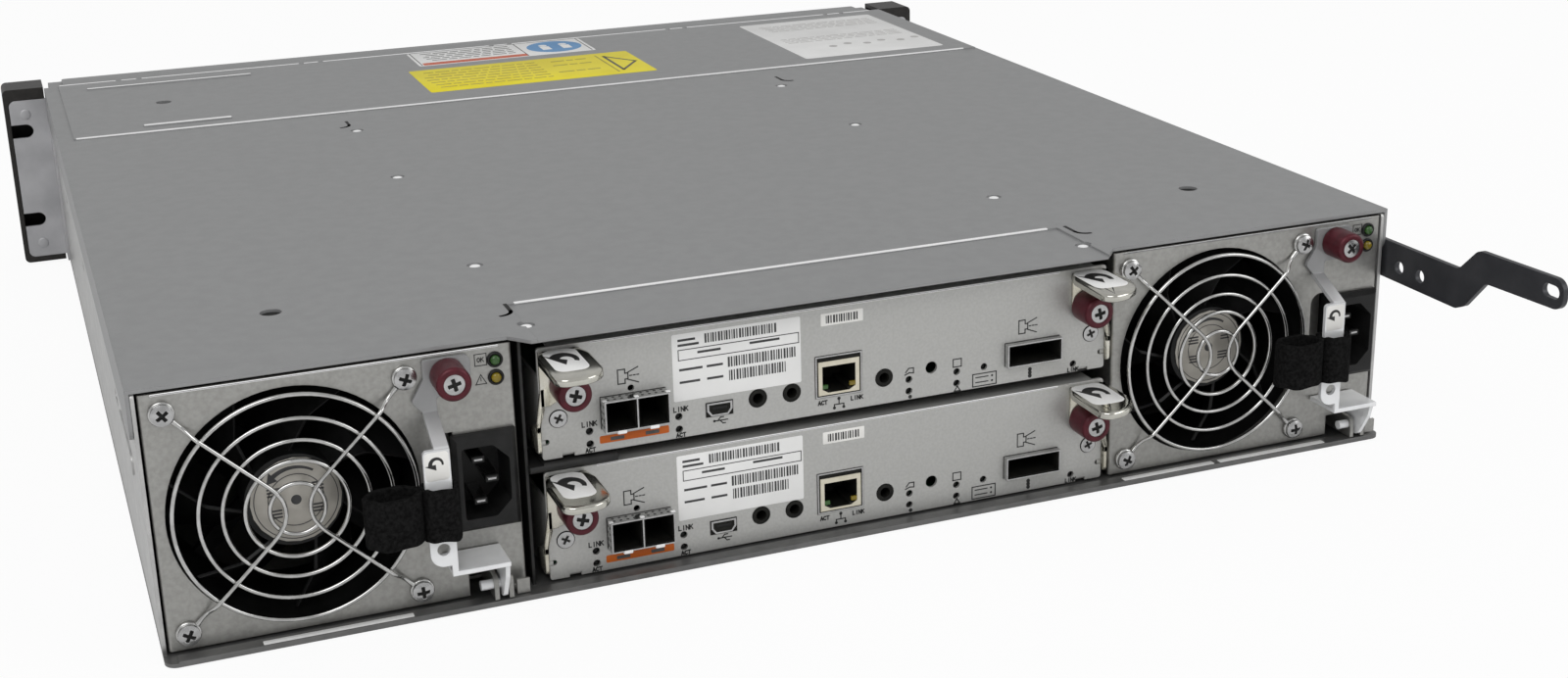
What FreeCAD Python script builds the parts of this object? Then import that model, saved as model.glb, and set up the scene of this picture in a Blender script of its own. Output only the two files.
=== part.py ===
import FreeCAD, Part
import math
import os

Vector = FreeCAD.Vector

# Disk shelf enclosure, two rack units high, in millimetres.
# The front (drive bays) faces -Y and the rear (power supplies and controllers) faces +Y.
# The origin is on the underside, midway across, in the plane of the rack ears' rear faces.
# "Across" positions are counted from the left-hand side as seen from the rear.
# "Behind" positions are counted rearwards from the module faces, so a negative one is inside.

# ---- chassis ----
body_height = 87.4
sheet = 1.2                   # chassis sheet steel
seat_gap = 0.1                # between sheets that lie on each other
rear_flange = 7.0             # floor that runs on behind the module faces
hem_rise = 0.6                # flattened fold along the floor's rear edge
hem_depth = 5.0
floor_corner_r = 4.0
front_reach = 18.0            # drive cage in front of the ear plane
module_clearance = 0.3        # modules above the hem that they slide over

# ---- top cover ----
cover_side_drop = 17.0        # side flange of the cover
cover_front_gap = 2.0         # from the ear plane back to the cover's front edge
cover_jut = 7.0               # cover over the controllers, behind the rest
cover_jut_left_out = 3.4      # jut's left-hand end, outside the left bay wall
cover_jut_right_out = 1.5     # jut's right-hand end, outside the right bay wall
cover_jut_chamfer = 6.0
cover_front_panel = 123.0     # length of the raised front panel
cover_panel_left_in = 6.6
cover_panel_right_in = 1.0
cover_step = 0.6
cover_rear_step = 31.0
cover_tool_hole_r = 3.5
cover_tool_hole_side = 50.0
cover_tool_hole_rear = 56.0
cover_tool_hole_front = 64.0
cover_rivet_r = 2.8
cover_rivet_depth = 0.5
cover_rivet_across = (122.3, 322.3)
cover_rivet_from_rear = (9.5, 78.0, 210.0, 298.0)
cover_notch_pairs = (39.5, 128.0, 226.0, 323.0, 415.0)
cover_notch_pair_gap = 9.6
cover_notch_width = 1.8
cover_notch_depth = 2.6
cover_ridge_height = 0.5
cover_ridges = ((19.0, 96.0, 18.0, 1.4), (37.0, 75.0, 110.0, 2.8))
hook_slit_width = 1.0
hook_slit_r = 4.0
hook_slit_tail = 7.0
hook_slit_right_out = 3.6     # slits on the right, outside the right bay wall
hook_slit_from_rear = (24.0, 310.0)

# ---- side walls ----
wall_slot_length = 12.0
wall_slot_width = 4.0
wall_slot_from_rear = (96.0, 262.0, 372.0)
wall_slot_z = 52.0
wall_emboss_length = 46.0
wall_emboss_width = 8.0
wall_emboss_height = 0.6
wall_emboss_from_rear = 30.0

# ---- rack ears and their caps ----
ear_cap_reach = 19.3          # body side to the cap's outer edge
rack_hole_out = 10.55         # body side to the middle of a rack screw notch
rack_unit = 44.45
ear_thickness = 1.5
ear_bottom = 3.4
ear_top = 82.0
ear_cap_rim = 2.3
ear_slot_r = 3.3
ear_slot_mid_z = 44.6
ear_corner_r = 3.0
ear_foot = 14.0               # ear's flange along the side wall
cap_depth = 20.0
cap_wall = 1.8
cap_bottom = 0.6
cap_top = 87.6
cap_corner_r = 2.5
cap_gap = 0.15

# ---- rear arm on the right-hand side ----
arm_thickness = 2.0
arm_reach = 93.0
arm_grip = 62.0               # length lying on the side wall
arm_low_drop = 25.6           # arm's levels below the body's top
arm_mid_drop = 11.8
arm_top_drop = 1.1
arm_hole_r = 2.4
arm_hole_from_face = (8.9, 20.7)
arm_hole_drop = 20.2
arm_slot_width = 4.6
arm_slot_drop = 6.2
arm_slot_length = 8.0
arm_slot_margin = 2.0         # metal left between the slot and the arm's end
arm_rivet_r = 2.4
arm_rivet_head = 1.0

# ---- drive bays ----
bay_count = 24
fitted_bays = (0, 1, 2)       # bays that hold a drive, from the front's left side
cage_depth = 144.0            # ear plane to the back of the cage
cage_guide = 1.6
cage_guide_width = 1.2
cage_guide_length = 96.0
carrier_gap = 0.4
carrier_bezel = 8.0
carrier_bezel_height = 79.0
carrier_length = 134.0
carrier_rail = 1.6
carrier_window = 9.0
drive_width = 14.8
drive_height = 69.8
drive_length = 100.2
eject_lever_width = 10.5
eject_lever_height = 62.0
eject_lever_thickness = 3.2
eject_pivot_r = 1.2
eject_pivot_z = 15.0
eject_recess = 6.0
blank_depth = 44.0
blank_wall = 1.4
vent_rows = 6

# ---- midplane ----
midplane_gap = 2.5            # from the cage's back to the board
midplane_thickness = 2.4
midplane_margin = 3.0
midplane_vent_height = 24.0
drive_plug_width = 7.0
drive_plug_height = 44.0
drive_plug_depth = 3.5
module_plug_width = 60.0
module_plug_height = 12.0
module_plug_depth = 9.0
plug_wall = 2.0
plug_gap = 0.5                # between a module's tongue and its socket

# ---- bay walls and controller shelf ----
left_wall_gap = 2.2           # left-hand supply to the left bay wall
right_wall_gap = 1.0          # right bay wall to the right-hand supply
wall_sheet = 1.0
left_wall_setback = 1.0
right_wall_setback = 20.0
shelf_setback = 4.0
shelf_lip_length = 29.0
shelf_lip_r = 1.5

# ---- power supplies ----
psu_left = 3.2
psu_right_gap = 3.0           # right-hand supply to the body side
psu_width = 111.6
psu_height = 83.2
psu_length = 300.0
module_end_gap = 0.1          # module sockets to the supplies' inner ends
psu_face = 1.2
psu_shell = 1.0
psu_shell_inset = 0.8
fan_size = 80.0
fan_screw_spacing = 71.5
fan_thickness = 38.0
fan_gap = 0.2                 # between the fan frame and the shell round it
fan_bore_r = 38.4
fan_rotor_r = 37.4
fan_hub_r = 15.0
fan_blade_count = 7
fan_blade_thickness = 1.4
fan_blade_sweep = 34.0
fan_strut_width = 5.0
fan_motor_depth = 6.0
fan_axle_r = 1.5
fan_axle_gap = 0.05
fan_screw_hole_r = 2.2
guard_wire_r = 0.9
guard_ring_radii = (8.3, 15.6, 22.2, 29.2, 36.7)
guard_stand = 3.4             # ring plane behind the face
guard_eye_r = 3.5
guard_sides = 4
guard_overlap = 0.3           # crossed wires sink this far into each other
guard_spoke_bends = ((29.8, 29.8), (26.6, 26.6), (10.5, 11.0), (6.2, 6.4), (3.6, 0.0))
guard_spoke_rise = 1.6        # first bend behind the face
screw_shank_r = 2.0
screw_head_r = 3.3
screw_head_height = 2.0
screw_length = 16.0
inlet_left = 90.2
inlet_width = 20.6
inlet_low = 23.2
inlet_height = 32.4
inlet_flange = 3.0
inlet_bevel = 1.4
inlet_body_gap = 0.2
inlet_body_inset = 1.6
inlet_depth = 22.0
inlet_cavity_width = 15.0
inlet_cavity_height = 24.0
inlet_cavity_depth = 16.0
inlet_cavity_chamfer = 5.0
pin_width = 2.0
pin_height = 4.0
pin_length = 14.0
pin_spacing = 14.0
pin_offset = 2.0
pocket_gap = 0.3              # between the fan frame and the finger pocket
pocket_depth = 6.0
pocket_corner_r = 4.0
light_across = 106.2
light_z = (72.6, 78.4)
light_bezel_r = 2.5
light_lens_r = 1.45
light_proud = 0.7
notch_left = 93.0
notch_width = 13.0
notch_height = 7.5
stop_tab_width = 4.2
stop_tab_height = 5.0
stop_tab_reach = 5.0

# ---- power supply handle, hinged near the floor ----
handle_sheet = 1.5
handle_stand = 15.6           # rear surface of the grip behind the face
handle_left = 78.6
handle_width = 8.3
handle_low = 19.0
handle_bend_z = 57.8
handle_web_width = 4.6        # crank between the grip and the screw plate, at the grip's right
handle_plate_left = 83.3
handle_plate_width = 14.8
handle_plate_low = 64.0
handle_plate_corner = (79.1, 68.7)
handle_plate_top = 81.8
handle_shelf_left = 85.0
handle_shelf_z = 15.2
handle_foot_r = 4.4
handle_hole_r = 2.0
handle_hole_z = 24.8
handle_shelf_right = 103.4
handle_pivot_behind = 4.0
handle_pivot_z = 4.7          # above the supply's underside
handle_pivot_r = 1.6
handle_ear_r = 3.6
handle_ear_inset = 1.6
handle_gap = 0.2
pivot_bracket_sheet = 1.5
running_gap = 0.05

# ---- thumbscrews ----
thumb_r = 5.5
thumb_length = 10.6
thumb_edge = 1.0
thumb_face_r = 3.1
thumb_recess = 0.4
thumb_stub_r = 1.9
thumb_stub_reach = 1.0        # stub past the module's face
thumb_hole_gap = 0.1
thumb_entry_r = 3.1
psu_thumb_across = 90.7
psu_thumb_z = 76.4

# ---- cable strap on the handle ----
strap_low = 28.6
strap_height = 17.6
strap_thickness = 1.8
strap_gap = 0.3
strap_loop_width = 17.0
strap_loop_depth = 12.0
strap_loop_r = 5.5

# ---- controllers ----
controller_left_gap = 4.6     # left bay wall to the controllers
controller_right_gap = 1.2    # controllers to the right bay wall
controller_width = 203.6
controller_height = 37.8
controller_pitch = 42.0
controller_shortfall = 4.0    # controllers end this much short of the supplies
controller_face = 1.2
controller_sheet = 1.0
controller_side_height = 27.0
controller_inset = 0.4
controller_lip = 9.0
board_z = 4.0
board_thickness = 1.6
board_inset = 2.2
board_post_r = 2.5
port_clearance = 0.15
cable_cage_left = 19.8
cable_cage_width = 21.8
cable_cage_low = 7.5
cable_cage_height = 10.8
cable_cage_proud = 5.0
cable_cage_depth = 36.0
cage_sheet = 0.5
usb_left = 55.4
usb_width = 9.0
usb_low = 5.7
usb_height = 4.6
usb_depth = 9.0
jack_across = (73.4, 85.4, 118.9)
jack_z = 9.3
jack_r = 3.1
jack_bore_r = 1.8
jack_length = 12.0
network_left = 93.9
network_width = 16.8
network_low = 5.7
network_height = 14.7
network_depth = 21.0
network_wall = 1.6
expansion_from_right = 39.1
expansion_width = 21.2
expansion_low = 6.2
expansion_height = 8.3
expansion_proud = 2.5
expansion_depth = 16.0
light_hole_r = 1.25
left_light_holes = ((15.8, 7.4), (15.8, 3.0), (45.9, 7.4), (45.9, 3.0), (128.1, 7.2), (128.1, 3.0))
right_light_holes = ((57.5, 7.2), (57.5, 3.0), (47.1, 7.4), (12.3, 3.0))     # from the right edge
vent_holes = ((30.2, 19.9, 1.1), (136.5, 10.2, 2.15))
face_screw_in = (5.8, 5.6)    # from the face's left and right edges
face_screw_z = 13.3
face_screw_r = 2.8

# ---- controller levers ----
lever_sheet = 1.2
lever_gap = 0.2
lever_arm_out = 0.4           # arm outside the face's edge
lever_arm_low = 2.6
lever_arm_depth = 9.0
lever_jog_low = 12.0
lever_jog_top = 18.5
lever_plate_width = 13.6
lever_plate_top = 36.8
lever_tab_reach = 28.0
lever_tab_width = 16.8
lever_tab_rim = 2.6
lever_tab_outer_r = 4.0
lever_tab_inner_r = 8.5
lever_pivot_in = 3.0
lever_pivot_z = 5.6
lever_pivot_r = 1.5
lever_thumb_in = 8.8
lever_thumb_z = 24.6

# derived planes: the widths add up from the left-hand supply, and the lengths from the drive cage
left_wall_across = psu_left + psu_width + left_wall_gap
controller_left = left_wall_across + wall_sheet + controller_left_gap
right_wall_across = controller_left + controller_width + controller_right_gap
psu_pitch = right_wall_across + wall_sheet + right_wall_gap - psu_left
body_width = psu_left + psu_pitch + psu_width + psu_right_gap
midplane_y = cage_depth + midplane_gap
controller_length = psu_length - controller_shortfall
body_depth = midplane_y + midplane_thickness + module_plug_depth + module_end_gap + psu_length
expansion_left = controller_width - expansion_from_right
light_holes = left_light_holes + tuple((controller_width - inset, z) for inset, z in right_light_holes)
rear_y = body_depth
arm_low_z = body_height - arm_low_drop
arm_mid_z = body_height - arm_mid_drop
arm_top_z = body_height - arm_top_drop
arm_hole_z = body_height - arm_hole_drop
arm_slot_mid_z = body_height - arm_slot_drop
wall_out = sheet + seat_gap
wall_in = wall_out + sheet
lid_low_z = body_height - sheet
inner_top = lid_low_z - seat_gap
module_low = sheet + hem_rise + module_clearance
fan_left = psu_shell_inset + psu_shell + fan_gap
fan_bottom = psu_shell + fan_gap
pocket_left = fan_left + fan_size + pocket_gap + psu_shell
plug_tongue_half = module_plug_width / 2 - plug_wall - plug_gap
plug_tongue_z = module_plug_height / 2 - plug_wall - plug_gap
psu_bottom = module_low
controller_bottom = module_low


def across(distance):
    # X of a point this far from the left-hand side as seen from the rear
    return body_width / 2 - distance


def behind(distance):
    # Y of a point this far behind the module faces
    return rear_y + distance


def block(x_pair, y_pair, z_pair):
    # box between two values on each axis, in either order
    low = [min(pair) for pair in (x_pair, y_pair, z_pair)]
    high = [max(pair) for pair in (x_pair, y_pair, z_pair)]
    size = [b - a for a, b in zip(low, high)]
    return Part.makeBox(size[0], size[1], size[2], Vector(*low))


def rod(start, end, radius):
    # round bar between two points
    direction = end - start
    return Part.makeCylinder(radius, direction.Length, start, direction)


def rod_y(x, z, y_from, y_to, radius):
    return rod(Vector(x, y_from, z), Vector(x, y_to, z), radius)


def rod_x(y, z, x_from, x_to, radius):
    return rod(Vector(x_from, y, z), Vector(x_to, y, z), radius)


def joined(shapes):
    # one solid from touching shapes, with the seams between flush faces removed
    return shapes[0].multiFuse(shapes[1:]).removeSplitter()


def rounded_wire(corners, radii, place):
    # closed outline through flat corners, each rounded by its own radius; place() puts a point in space
    count = len(corners)
    points = [Vector(a, b, 0) for a, b in corners]
    bends = []
    for i in range(count):
        back = points[i - 1] - points[i]
        back.normalize()
        ahead = points[(i + 1) % count] - points[i]
        ahead.normalize()
        half = back.getAngle(ahead) / 2
        reach = radii[i] / math.tan(half)
        middle = back + ahead
        if radii[i] > 0:
            middle.normalize()
        bulge = radii[i] / math.sin(half) - radii[i]
        bends.append((points[i] + back * reach, points[i] + middle * bulge, points[i] + ahead * reach))
    edges = []
    for i in range(count):
        start, mid, end = bends[i]
        if radii[i] > 0:
            edges.append(Part.Arc(place(start), place(mid), place(end)).toShape())
        following = bends[(i + 1) % count][0]
        if (following - end).Length > 1e-6:
            edges.append(Part.LineSegment(place(end), place(following)).toShape())
    return Part.Wire(edges)


def slab(axis, corners, radii, low, high):
    # plate whose outline lies square to an axis; outlines are (Y, Z), (X, Z) or (X, Y) for X, Y and Z
    if not isinstance(radii, (list, tuple)):
        radii = [radii] * len(corners)
    places = {
        "x": lambda p: Vector(low, p.x, p.y),
        "y": lambda p: Vector(p.x, low, p.y),
        "z": lambda p: Vector(p.x, p.y, low),
    }
    directions = {"x": Vector(1, 0, 0), "y": Vector(0, 1, 0), "z": Vector(0, 0, 1)}
    face = Part.Face(rounded_wire(corners, radii, places[axis]))
    return face.extrude(directions[axis] * (high - low))


def rectangle(a_pair, b_pair):
    # four corners of a rectangle, in order
    return [(a_pair[0], b_pair[0]), (a_pair[1], b_pair[0]), (a_pair[1], b_pair[1]), (a_pair[0], b_pair[1])]


def slot_x(y_mid, z_mid, length, width, x_from, x_to):
    # round-ended slot along Y, cut through along X
    corners = rectangle((y_mid - length / 2, y_mid + length / 2), (z_mid - width / 2, z_mid + width / 2))
    return slab("x", corners, width / 2 - 0.01, min(x_from, x_to), max(x_from, x_to))


def moved(shape, x=0.0, y=0.0, z=0.0):
    copy = shape.copy()
    copy.translate(Vector(x, y, z))
    return copy


def write(name, shapes):
    # one STEP file per node; a group of identical pieces is a compound of separate solids
    whole = shapes if not isinstance(shapes, list) else Part.makeCompound(shapes)
    whole.exportStep("parts/" + name + ".step")


# ---------------------------------------------------------------- chassis


def side_wall(left):
    # one folded side wall, with its slots and the long emboss near the rear
    outer = wall_out if left else body_width - wall_out
    inner = wall_in if left else body_width - wall_in
    x_out = across(outer)
    x_in = across(inner)
    corners = rectangle((0.0, rear_y), (0.0, inner_top))
    wall = slab("x", corners, [0, 0, 2.0, 2.0], min(x_out, x_in), max(x_out, x_in))
    cuts = []
    for distance in wall_slot_from_rear:
        y_mid = behind(-distance)
        cuts.append(slot_x(y_mid, wall_slot_z, wall_slot_length, wall_slot_width, x_out - 2, x_out + 2))
    wall = wall.cut(cuts)
    outward = 1 if left else -1
    emboss = slab(
        "x",
        rectangle(
            (behind(-wall_emboss_from_rear - wall_emboss_length), behind(-wall_emboss_from_rear)),
            (wall_slot_z - wall_emboss_width / 2, wall_slot_z + wall_emboss_width / 2),
        ),
        wall_emboss_width / 2 - 0.01,
        min(x_out, x_out + outward * wall_emboss_height),
        max(x_out, x_out + outward * wall_emboss_height),
    )
    return wall.fuse(emboss)


def chassis_tray():
    # floor with its rear flange and hem, and the two side walls folded up from it
    left = across(wall_out)
    right = across(body_width - wall_out)
    back = behind(rear_flange)
    corners = [(right, -front_reach), (left, -front_reach), (left, back), (right, back)]
    floor = slab("z", corners, [0, 0, floor_corner_r, floor_corner_r], 0.0, sheet)
    hem = block(
        (left - floor_corner_r, right + floor_corner_r),
        (back - hem_depth, back),
        (sheet - 0.2, sheet + hem_rise),
    )
    return joined([floor, hem, side_wall(True), side_wall(False)])


def hook_slit(x, y, turn):
    # short J-shaped relief slit through the cover
    half = hook_slit_width / 2
    ring = Part.makeCylinder(hook_slit_r + half, 4, Vector(x, y, lid_low_z - 1))
    ring = ring.cut(Part.makeCylinder(hook_slit_r - half, 4, Vector(x, y, lid_low_z - 1)))
    keep = block((x, x + turn * 2 * hook_slit_r), (y, y + 2 * hook_slit_r), (lid_low_z - 1, lid_low_z + 3))
    ring = ring.common(keep)
    tail_x = x + turn * hook_slit_r
    tail = block((tail_x - half, tail_x + half), (y - hook_slit_tail, y), (lid_low_z - 1, lid_low_z + 3))
    return ring.fuse(tail)


def cover_outline():
    # plan of the cover, wider in depth over the controllers
    left = across(0.0)
    right = across(body_width)
    back = behind(cover_jut)
    jut_left = across(left_wall_across - cover_jut_left_out)
    jut_right = across(right_wall_across + cover_jut_right_out)
    return [
        (right, cover_front_gap),
        (left, cover_front_gap),
        (left, rear_y),
        (jut_left, rear_y),
        (jut_left - cover_jut_chamfer, back),
        (jut_right + cover_jut_chamfer, back),
        (jut_right, rear_y),
        (right, rear_y),
    ]


def cover_flange(x_low, x_high):
    # side flange of the cover, with its rear lower corner rounded
    corners = rectangle((cover_front_gap, rear_y), (body_height - cover_side_drop, lid_low_z + 0.5))
    return slab("x", corners, [1.0, 6.0, 0, 0], x_low, x_high)


def cover_cuts():
    # tool holes, rivet dimples, tongue notches, hook slits and the lowered strip over the controllers
    cuts = []
    for side in (cover_tool_hole_side, body_width - cover_tool_hole_side):
        for y in (behind(-cover_tool_hole_rear), cover_tool_hole_front):
            cuts.append(Part.makeCylinder(cover_tool_hole_r, 6, Vector(across(side), y, lid_low_z - 2)))
    for side in cover_rivet_across:
        for distance in cover_rivet_from_rear:
            low = body_height - cover_rivet_depth
            spot = Vector(across(side), behind(-distance), low)
            if distance < cover_rear_step:
                spot.z = low - cover_step
            cuts.append(Part.makeCylinder(cover_rivet_r, 3, spot))
    for middle in cover_notch_pairs:
        for side in (-1, 1):
            x = across(middle + side * cover_notch_pair_gap / 2)
            half = cover_notch_width / 2
            reach = cover_front_gap + cover_notch_depth
            cuts.append(block((x - half, x + half), (0.0, reach), (lid_low_z - 1, body_height + 3)))
    for distance in hook_slit_from_rear:
        cuts.append(hook_slit(across(left_wall_across), behind(-distance), -1))
        cuts.append(hook_slit(across(right_wall_across + hook_slit_right_out), behind(-distance), 1))
    strip_left = across(cover_rivet_across[0] - 0.7)
    strip_right = across(cover_rivet_across[1] + 1.5)
    cuts.append(
        block(
            (strip_left, strip_right),
            (behind(-cover_rear_step), behind(cover_jut + 1)),
            (body_height - cover_step, body_height + 1),
        )
    )
    return cuts


def top_cover():
    # cover sheet with folded sides, a raised panel at the front and pressed lines
    sheet_plate = slab("z", cover_outline(), 0, lid_low_z, body_height)
    front_panel = block(
        (across(cover_panel_left_in), across(body_width - cover_panel_right_in)),
        (cover_front_gap, cover_front_panel),
        (lid_low_z + 0.5, body_height + cover_step),
    )
    pieces = [
        sheet_plate,
        front_panel,
        cover_flange(across(sheet), across(0.0)),
        cover_flange(across(body_width), across(body_width - sheet)),
    ]
    cover = joined(pieces)
    cover = cover.cut(cover_cuts())
    ridge_top = body_height + cover_step + cover_ridge_height
    ridges = []
    for start, end, y, width in cover_ridges:
        ridges.append(block((across(start), across(end)), (y, y + width), (body_height, ridge_top)))
    return joined([cover] + ridges)


def rack_ear(side):
    # ear plate with two open-ended notches, and its foot along the side wall
    outer = side * (body_width / 2 + ear_cap_reach - ear_cap_rim)
    inner = side * (body_width / 2 - wall_out + seat_gap)
    foot_in = side * (body_width / 2 - wall_out)
    corners = [(inner, ear_bottom), (outer, ear_bottom), (outer, ear_top), (inner, ear_top)]
    plate = slab("y", corners, [0, ear_corner_r, ear_corner_r, 0], -ear_thickness, 0.0)
    slots = []
    for z in (ear_slot_mid_z - rack_unit / 2, ear_slot_mid_z + rack_unit / 2):
        x = side * (body_width / 2 + rack_hole_out)
        slots.append(rod_y(x, z, -ear_thickness - 1, 1, ear_slot_r))
        slots.append(block((x, x + side * 20), (-ear_thickness - 1, 1), (z - ear_slot_r, z + ear_slot_r)))
    foot = block((inner, foot_in), (-ear_thickness, 0.0), (ear_bottom, ear_top))
    foot_plate = block(
        (foot_in, foot_in + side * (sheet - seat_gap)),
        (-ear_thickness, ear_foot),
        (ear_bottom, body_height - cover_side_drop - seat_gap),
    )
    return joined([plate, foot, foot_plate]).cut(slots)


def ear_cap(side):
    # moulded cap over the front of an ear, open at the rear where the ear plate sits in it
    outer = side * (body_width / 2 + ear_cap_reach)
    inner = side * (body_width / 2 + 0.3)
    corners = [(inner, cap_bottom), (outer, cap_bottom), (outer, cap_top), (inner, cap_top)]
    shell = slab("y", corners, [0, cap_corner_r, cap_corner_r, 0], -cap_depth, 0.0)
    front_face = -cap_depth + cap_wall
    hollow = block(
        (inner - side, outer - side * cap_wall),
        (front_face, -ear_thickness - cap_gap - 1.0),
        (cap_bottom + cap_wall, cap_top - cap_wall),
    )
    seat = slab(
        "y",
        [
            (inner - side, ear_bottom - cap_gap),
            (outer - side * (ear_cap_rim - cap_gap), ear_bottom - cap_gap),
            (outer - side * (ear_cap_rim - cap_gap), ear_top + cap_gap),
            (inner - side, ear_top + cap_gap),
        ],
        [0, ear_corner_r, ear_corner_r, 0],
        -ear_thickness - cap_gap - 1.1,
        1.0,
    )
    return shell.cut([hollow, seat])


def rear_arm():
    # cranked flat arm on the outside of the right-hand wall, with an oval hole at its end
    x = across(body_width)
    corners = [
        (behind(-arm_grip), arm_low_z),
        (behind(40.9), arm_low_z - 0.5),
        (behind(45.4), arm_low_z + 1.6),
        (behind(55.3), arm_mid_z - 1.1),
        (behind(arm_reach), arm_mid_z),
        (behind(arm_reach), arm_top_z),
        (behind(50.5), arm_top_z - 1.1),
        (behind(41.0), arm_mid_z + 0.3),
        (behind(-arm_grip), arm_mid_z - 0.3),
    ]
    radii = [2.0, 4.0, 4.0, 4.0, 4.5, 4.5, 5.0, 5.0, 2.0]
    plate = slab("x", corners, radii, x - arm_thickness, x)
    cuts = []
    for distance in arm_hole_from_face:
        cuts.append(rod_x(behind(distance), arm_hole_z, x - arm_thickness - 1, x + 1, arm_hole_r))
    slot_mid = behind(arm_reach - arm_slot_margin - arm_slot_length / 2)
    cuts.append(
        slot_x(slot_mid, arm_slot_mid_z, arm_slot_length, arm_slot_width, x - arm_thickness - 1, x + 1)
    )
    plate = plate.cut(cuts)
    # spacer behind the arm fills the step between the cover's flange and the wall
    spacer = block(
        (x, across(body_width - wall_out)),
        (behind(-arm_grip), behind(-2.0)),
        (arm_low_z, body_height - cover_side_drop - seat_gap),
    )
    heads = []
    for distance in (arm_grip - 12.0, 22.0):
        heads.append(
            rod_x(
                behind(-distance),
                arm_hole_z,
                x - arm_thickness,
                x - arm_thickness - arm_rivet_head,
                arm_rivet_r,
            )
        )
    return joined([plate, spacer] + heads)


# ---------------------------------------------------------------- drive bays and midplane

cage_left = across(wall_in + seat_gap)
cage_right = -cage_left
cage_low = sheet + seat_gap
cage_top = inner_top - seat_gap
bay_pitch = (cage_left - cage_right - 2 * wall_sheet) / bay_count
carrier_width = bay_pitch - carrier_gap
carrier_low = cage_low + wall_sheet + carrier_gap
carrier_top = carrier_low + carrier_bezel_height
bezel_front_y = -front_reach - carrier_bezel


def bay_x(index):
    # middle of a drive bay, counted from the left as seen from the front
    return cage_right + wall_sheet + (index + 0.5) * bay_pitch


def drive_cage():
    # open-ended box of thin sheet, with guide ribs between the bays at its top and bottom
    outer = block((cage_right, cage_left), (-front_reach, cage_depth), (cage_low, cage_top))
    inner = block(
        (cage_right + wall_sheet, cage_left - wall_sheet),
        (-front_reach - 1, cage_depth + 1),
        (cage_low + wall_sheet, cage_top - wall_sheet),
    )
    pieces = [outer.cut(inner)]
    half = cage_guide_width / 2
    for index in range(1, bay_count):
        x = bay_x(index) - bay_pitch / 2
        low = cage_low + wall_sheet
        high = cage_top - wall_sheet
        guide_start = 10.0
        y_pair = (guide_start, guide_start + cage_guide_length)
        pieces.append(block((x - half, x + half), y_pair, (low - 0.3, low + cage_guide)))
        pieces.append(block((x - half, x + half), y_pair, (high - cage_guide, high + 0.3)))
    return joined(pieces)


def vent_slots(x, depth_pair, z_low, z_high, rows, width):
    # column of round-cornered vents through a bezel
    pitch = (z_high - z_low) / rows
    cuts = []
    for row in range(rows):
        z = z_low + pitch * (row + 0.5)
        cuts.append(block((x - width / 2, x + width / 2), depth_pair, (z - pitch * 0.3, z + pitch * 0.3)))
    return cuts


def drive_carrier(index):
    # carrier bezel with a lever recess and vents, two side rails, and the disk drive screwed between them
    x = bay_x(index)
    half = carrier_width / 2
    bezel = slab(
        "y",
        rectangle((x - half, x + half), (carrier_low, carrier_top)),
        1.2,
        bezel_front_y,
        -front_reach,
    )
    window = carrier_window / 2
    cuts = vent_slots(
        x, (bezel_front_y - 1, -front_reach + 1), carrier_top - 14.0, carrier_top - 2.0, 3, carrier_window
    )
    cuts.append(
        block(
            (x - eject_lever_width / 2 - 0.4, x + eject_lever_width / 2 + 0.4),
            (bezel_front_y - 1, bezel_front_y + eject_recess),
            (carrier_low + 4.0, carrier_top - 15.0),
        )
    )
    bezel = bezel.cut(cuts)
    rear = bezel_front_y + carrier_length
    rail_low = carrier_low + cage_guide
    rails = []
    for z_pair in (
        (rail_low, rail_low + carrier_rail),
        (carrier_top - 3 * carrier_rail, carrier_top - 2 * carrier_rail),
    ):
        rails.append(block((x - window, x + window), (-front_reach - 1, rear), z_pair))
    drive_low = rail_low + carrier_rail - 0.2
    drive = block(
        (x - drive_width / 2, x + drive_width / 2),
        (rear - drive_length, rear - 1.0),
        (drive_low, drive_low + drive_height),
    )
    ears = []
    for side in (-1, 1):
        spot = x + side * (eject_lever_width / 2 - 0.6)
        ears.append(
            rod_x(bezel_front_y + 0.6, carrier_low + eject_pivot_z, spot, spot + side * 1.2, eject_pivot_r)
        )
    return joined([bezel, drive] + rails + ears)


def eject_lever(index):
    # thin lever in the carrier's bezel, hinged on two stubs near its foot
    x = bay_x(index)
    half = eject_lever_width / 2
    low = carrier_low + eject_pivot_z - 4.0
    corners = rectangle((x - half, x + half), (low, low + eject_lever_height - 12.0))
    front = bezel_front_y - eject_lever_thickness + 2.0
    plate = slab("y", corners, [1.0, 1.0, 3.0, 3.0], front, front + eject_lever_thickness)
    grip = block((x - half, x + half), (front - 1.6, front + 0.4), (low + 44.0, low + 46.0))
    bores = []
    for side in (-1, 1):
        spot = x + side * half
        bores.append(
            rod_x(
                bezel_front_y + 0.6,
                carrier_low + eject_pivot_z,
                spot + side,
                spot - side * 0.9,
                eject_pivot_r + running_gap,
            )
        )
    lever = joined([plate, grip])
    return lever.cut(bores)


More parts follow.
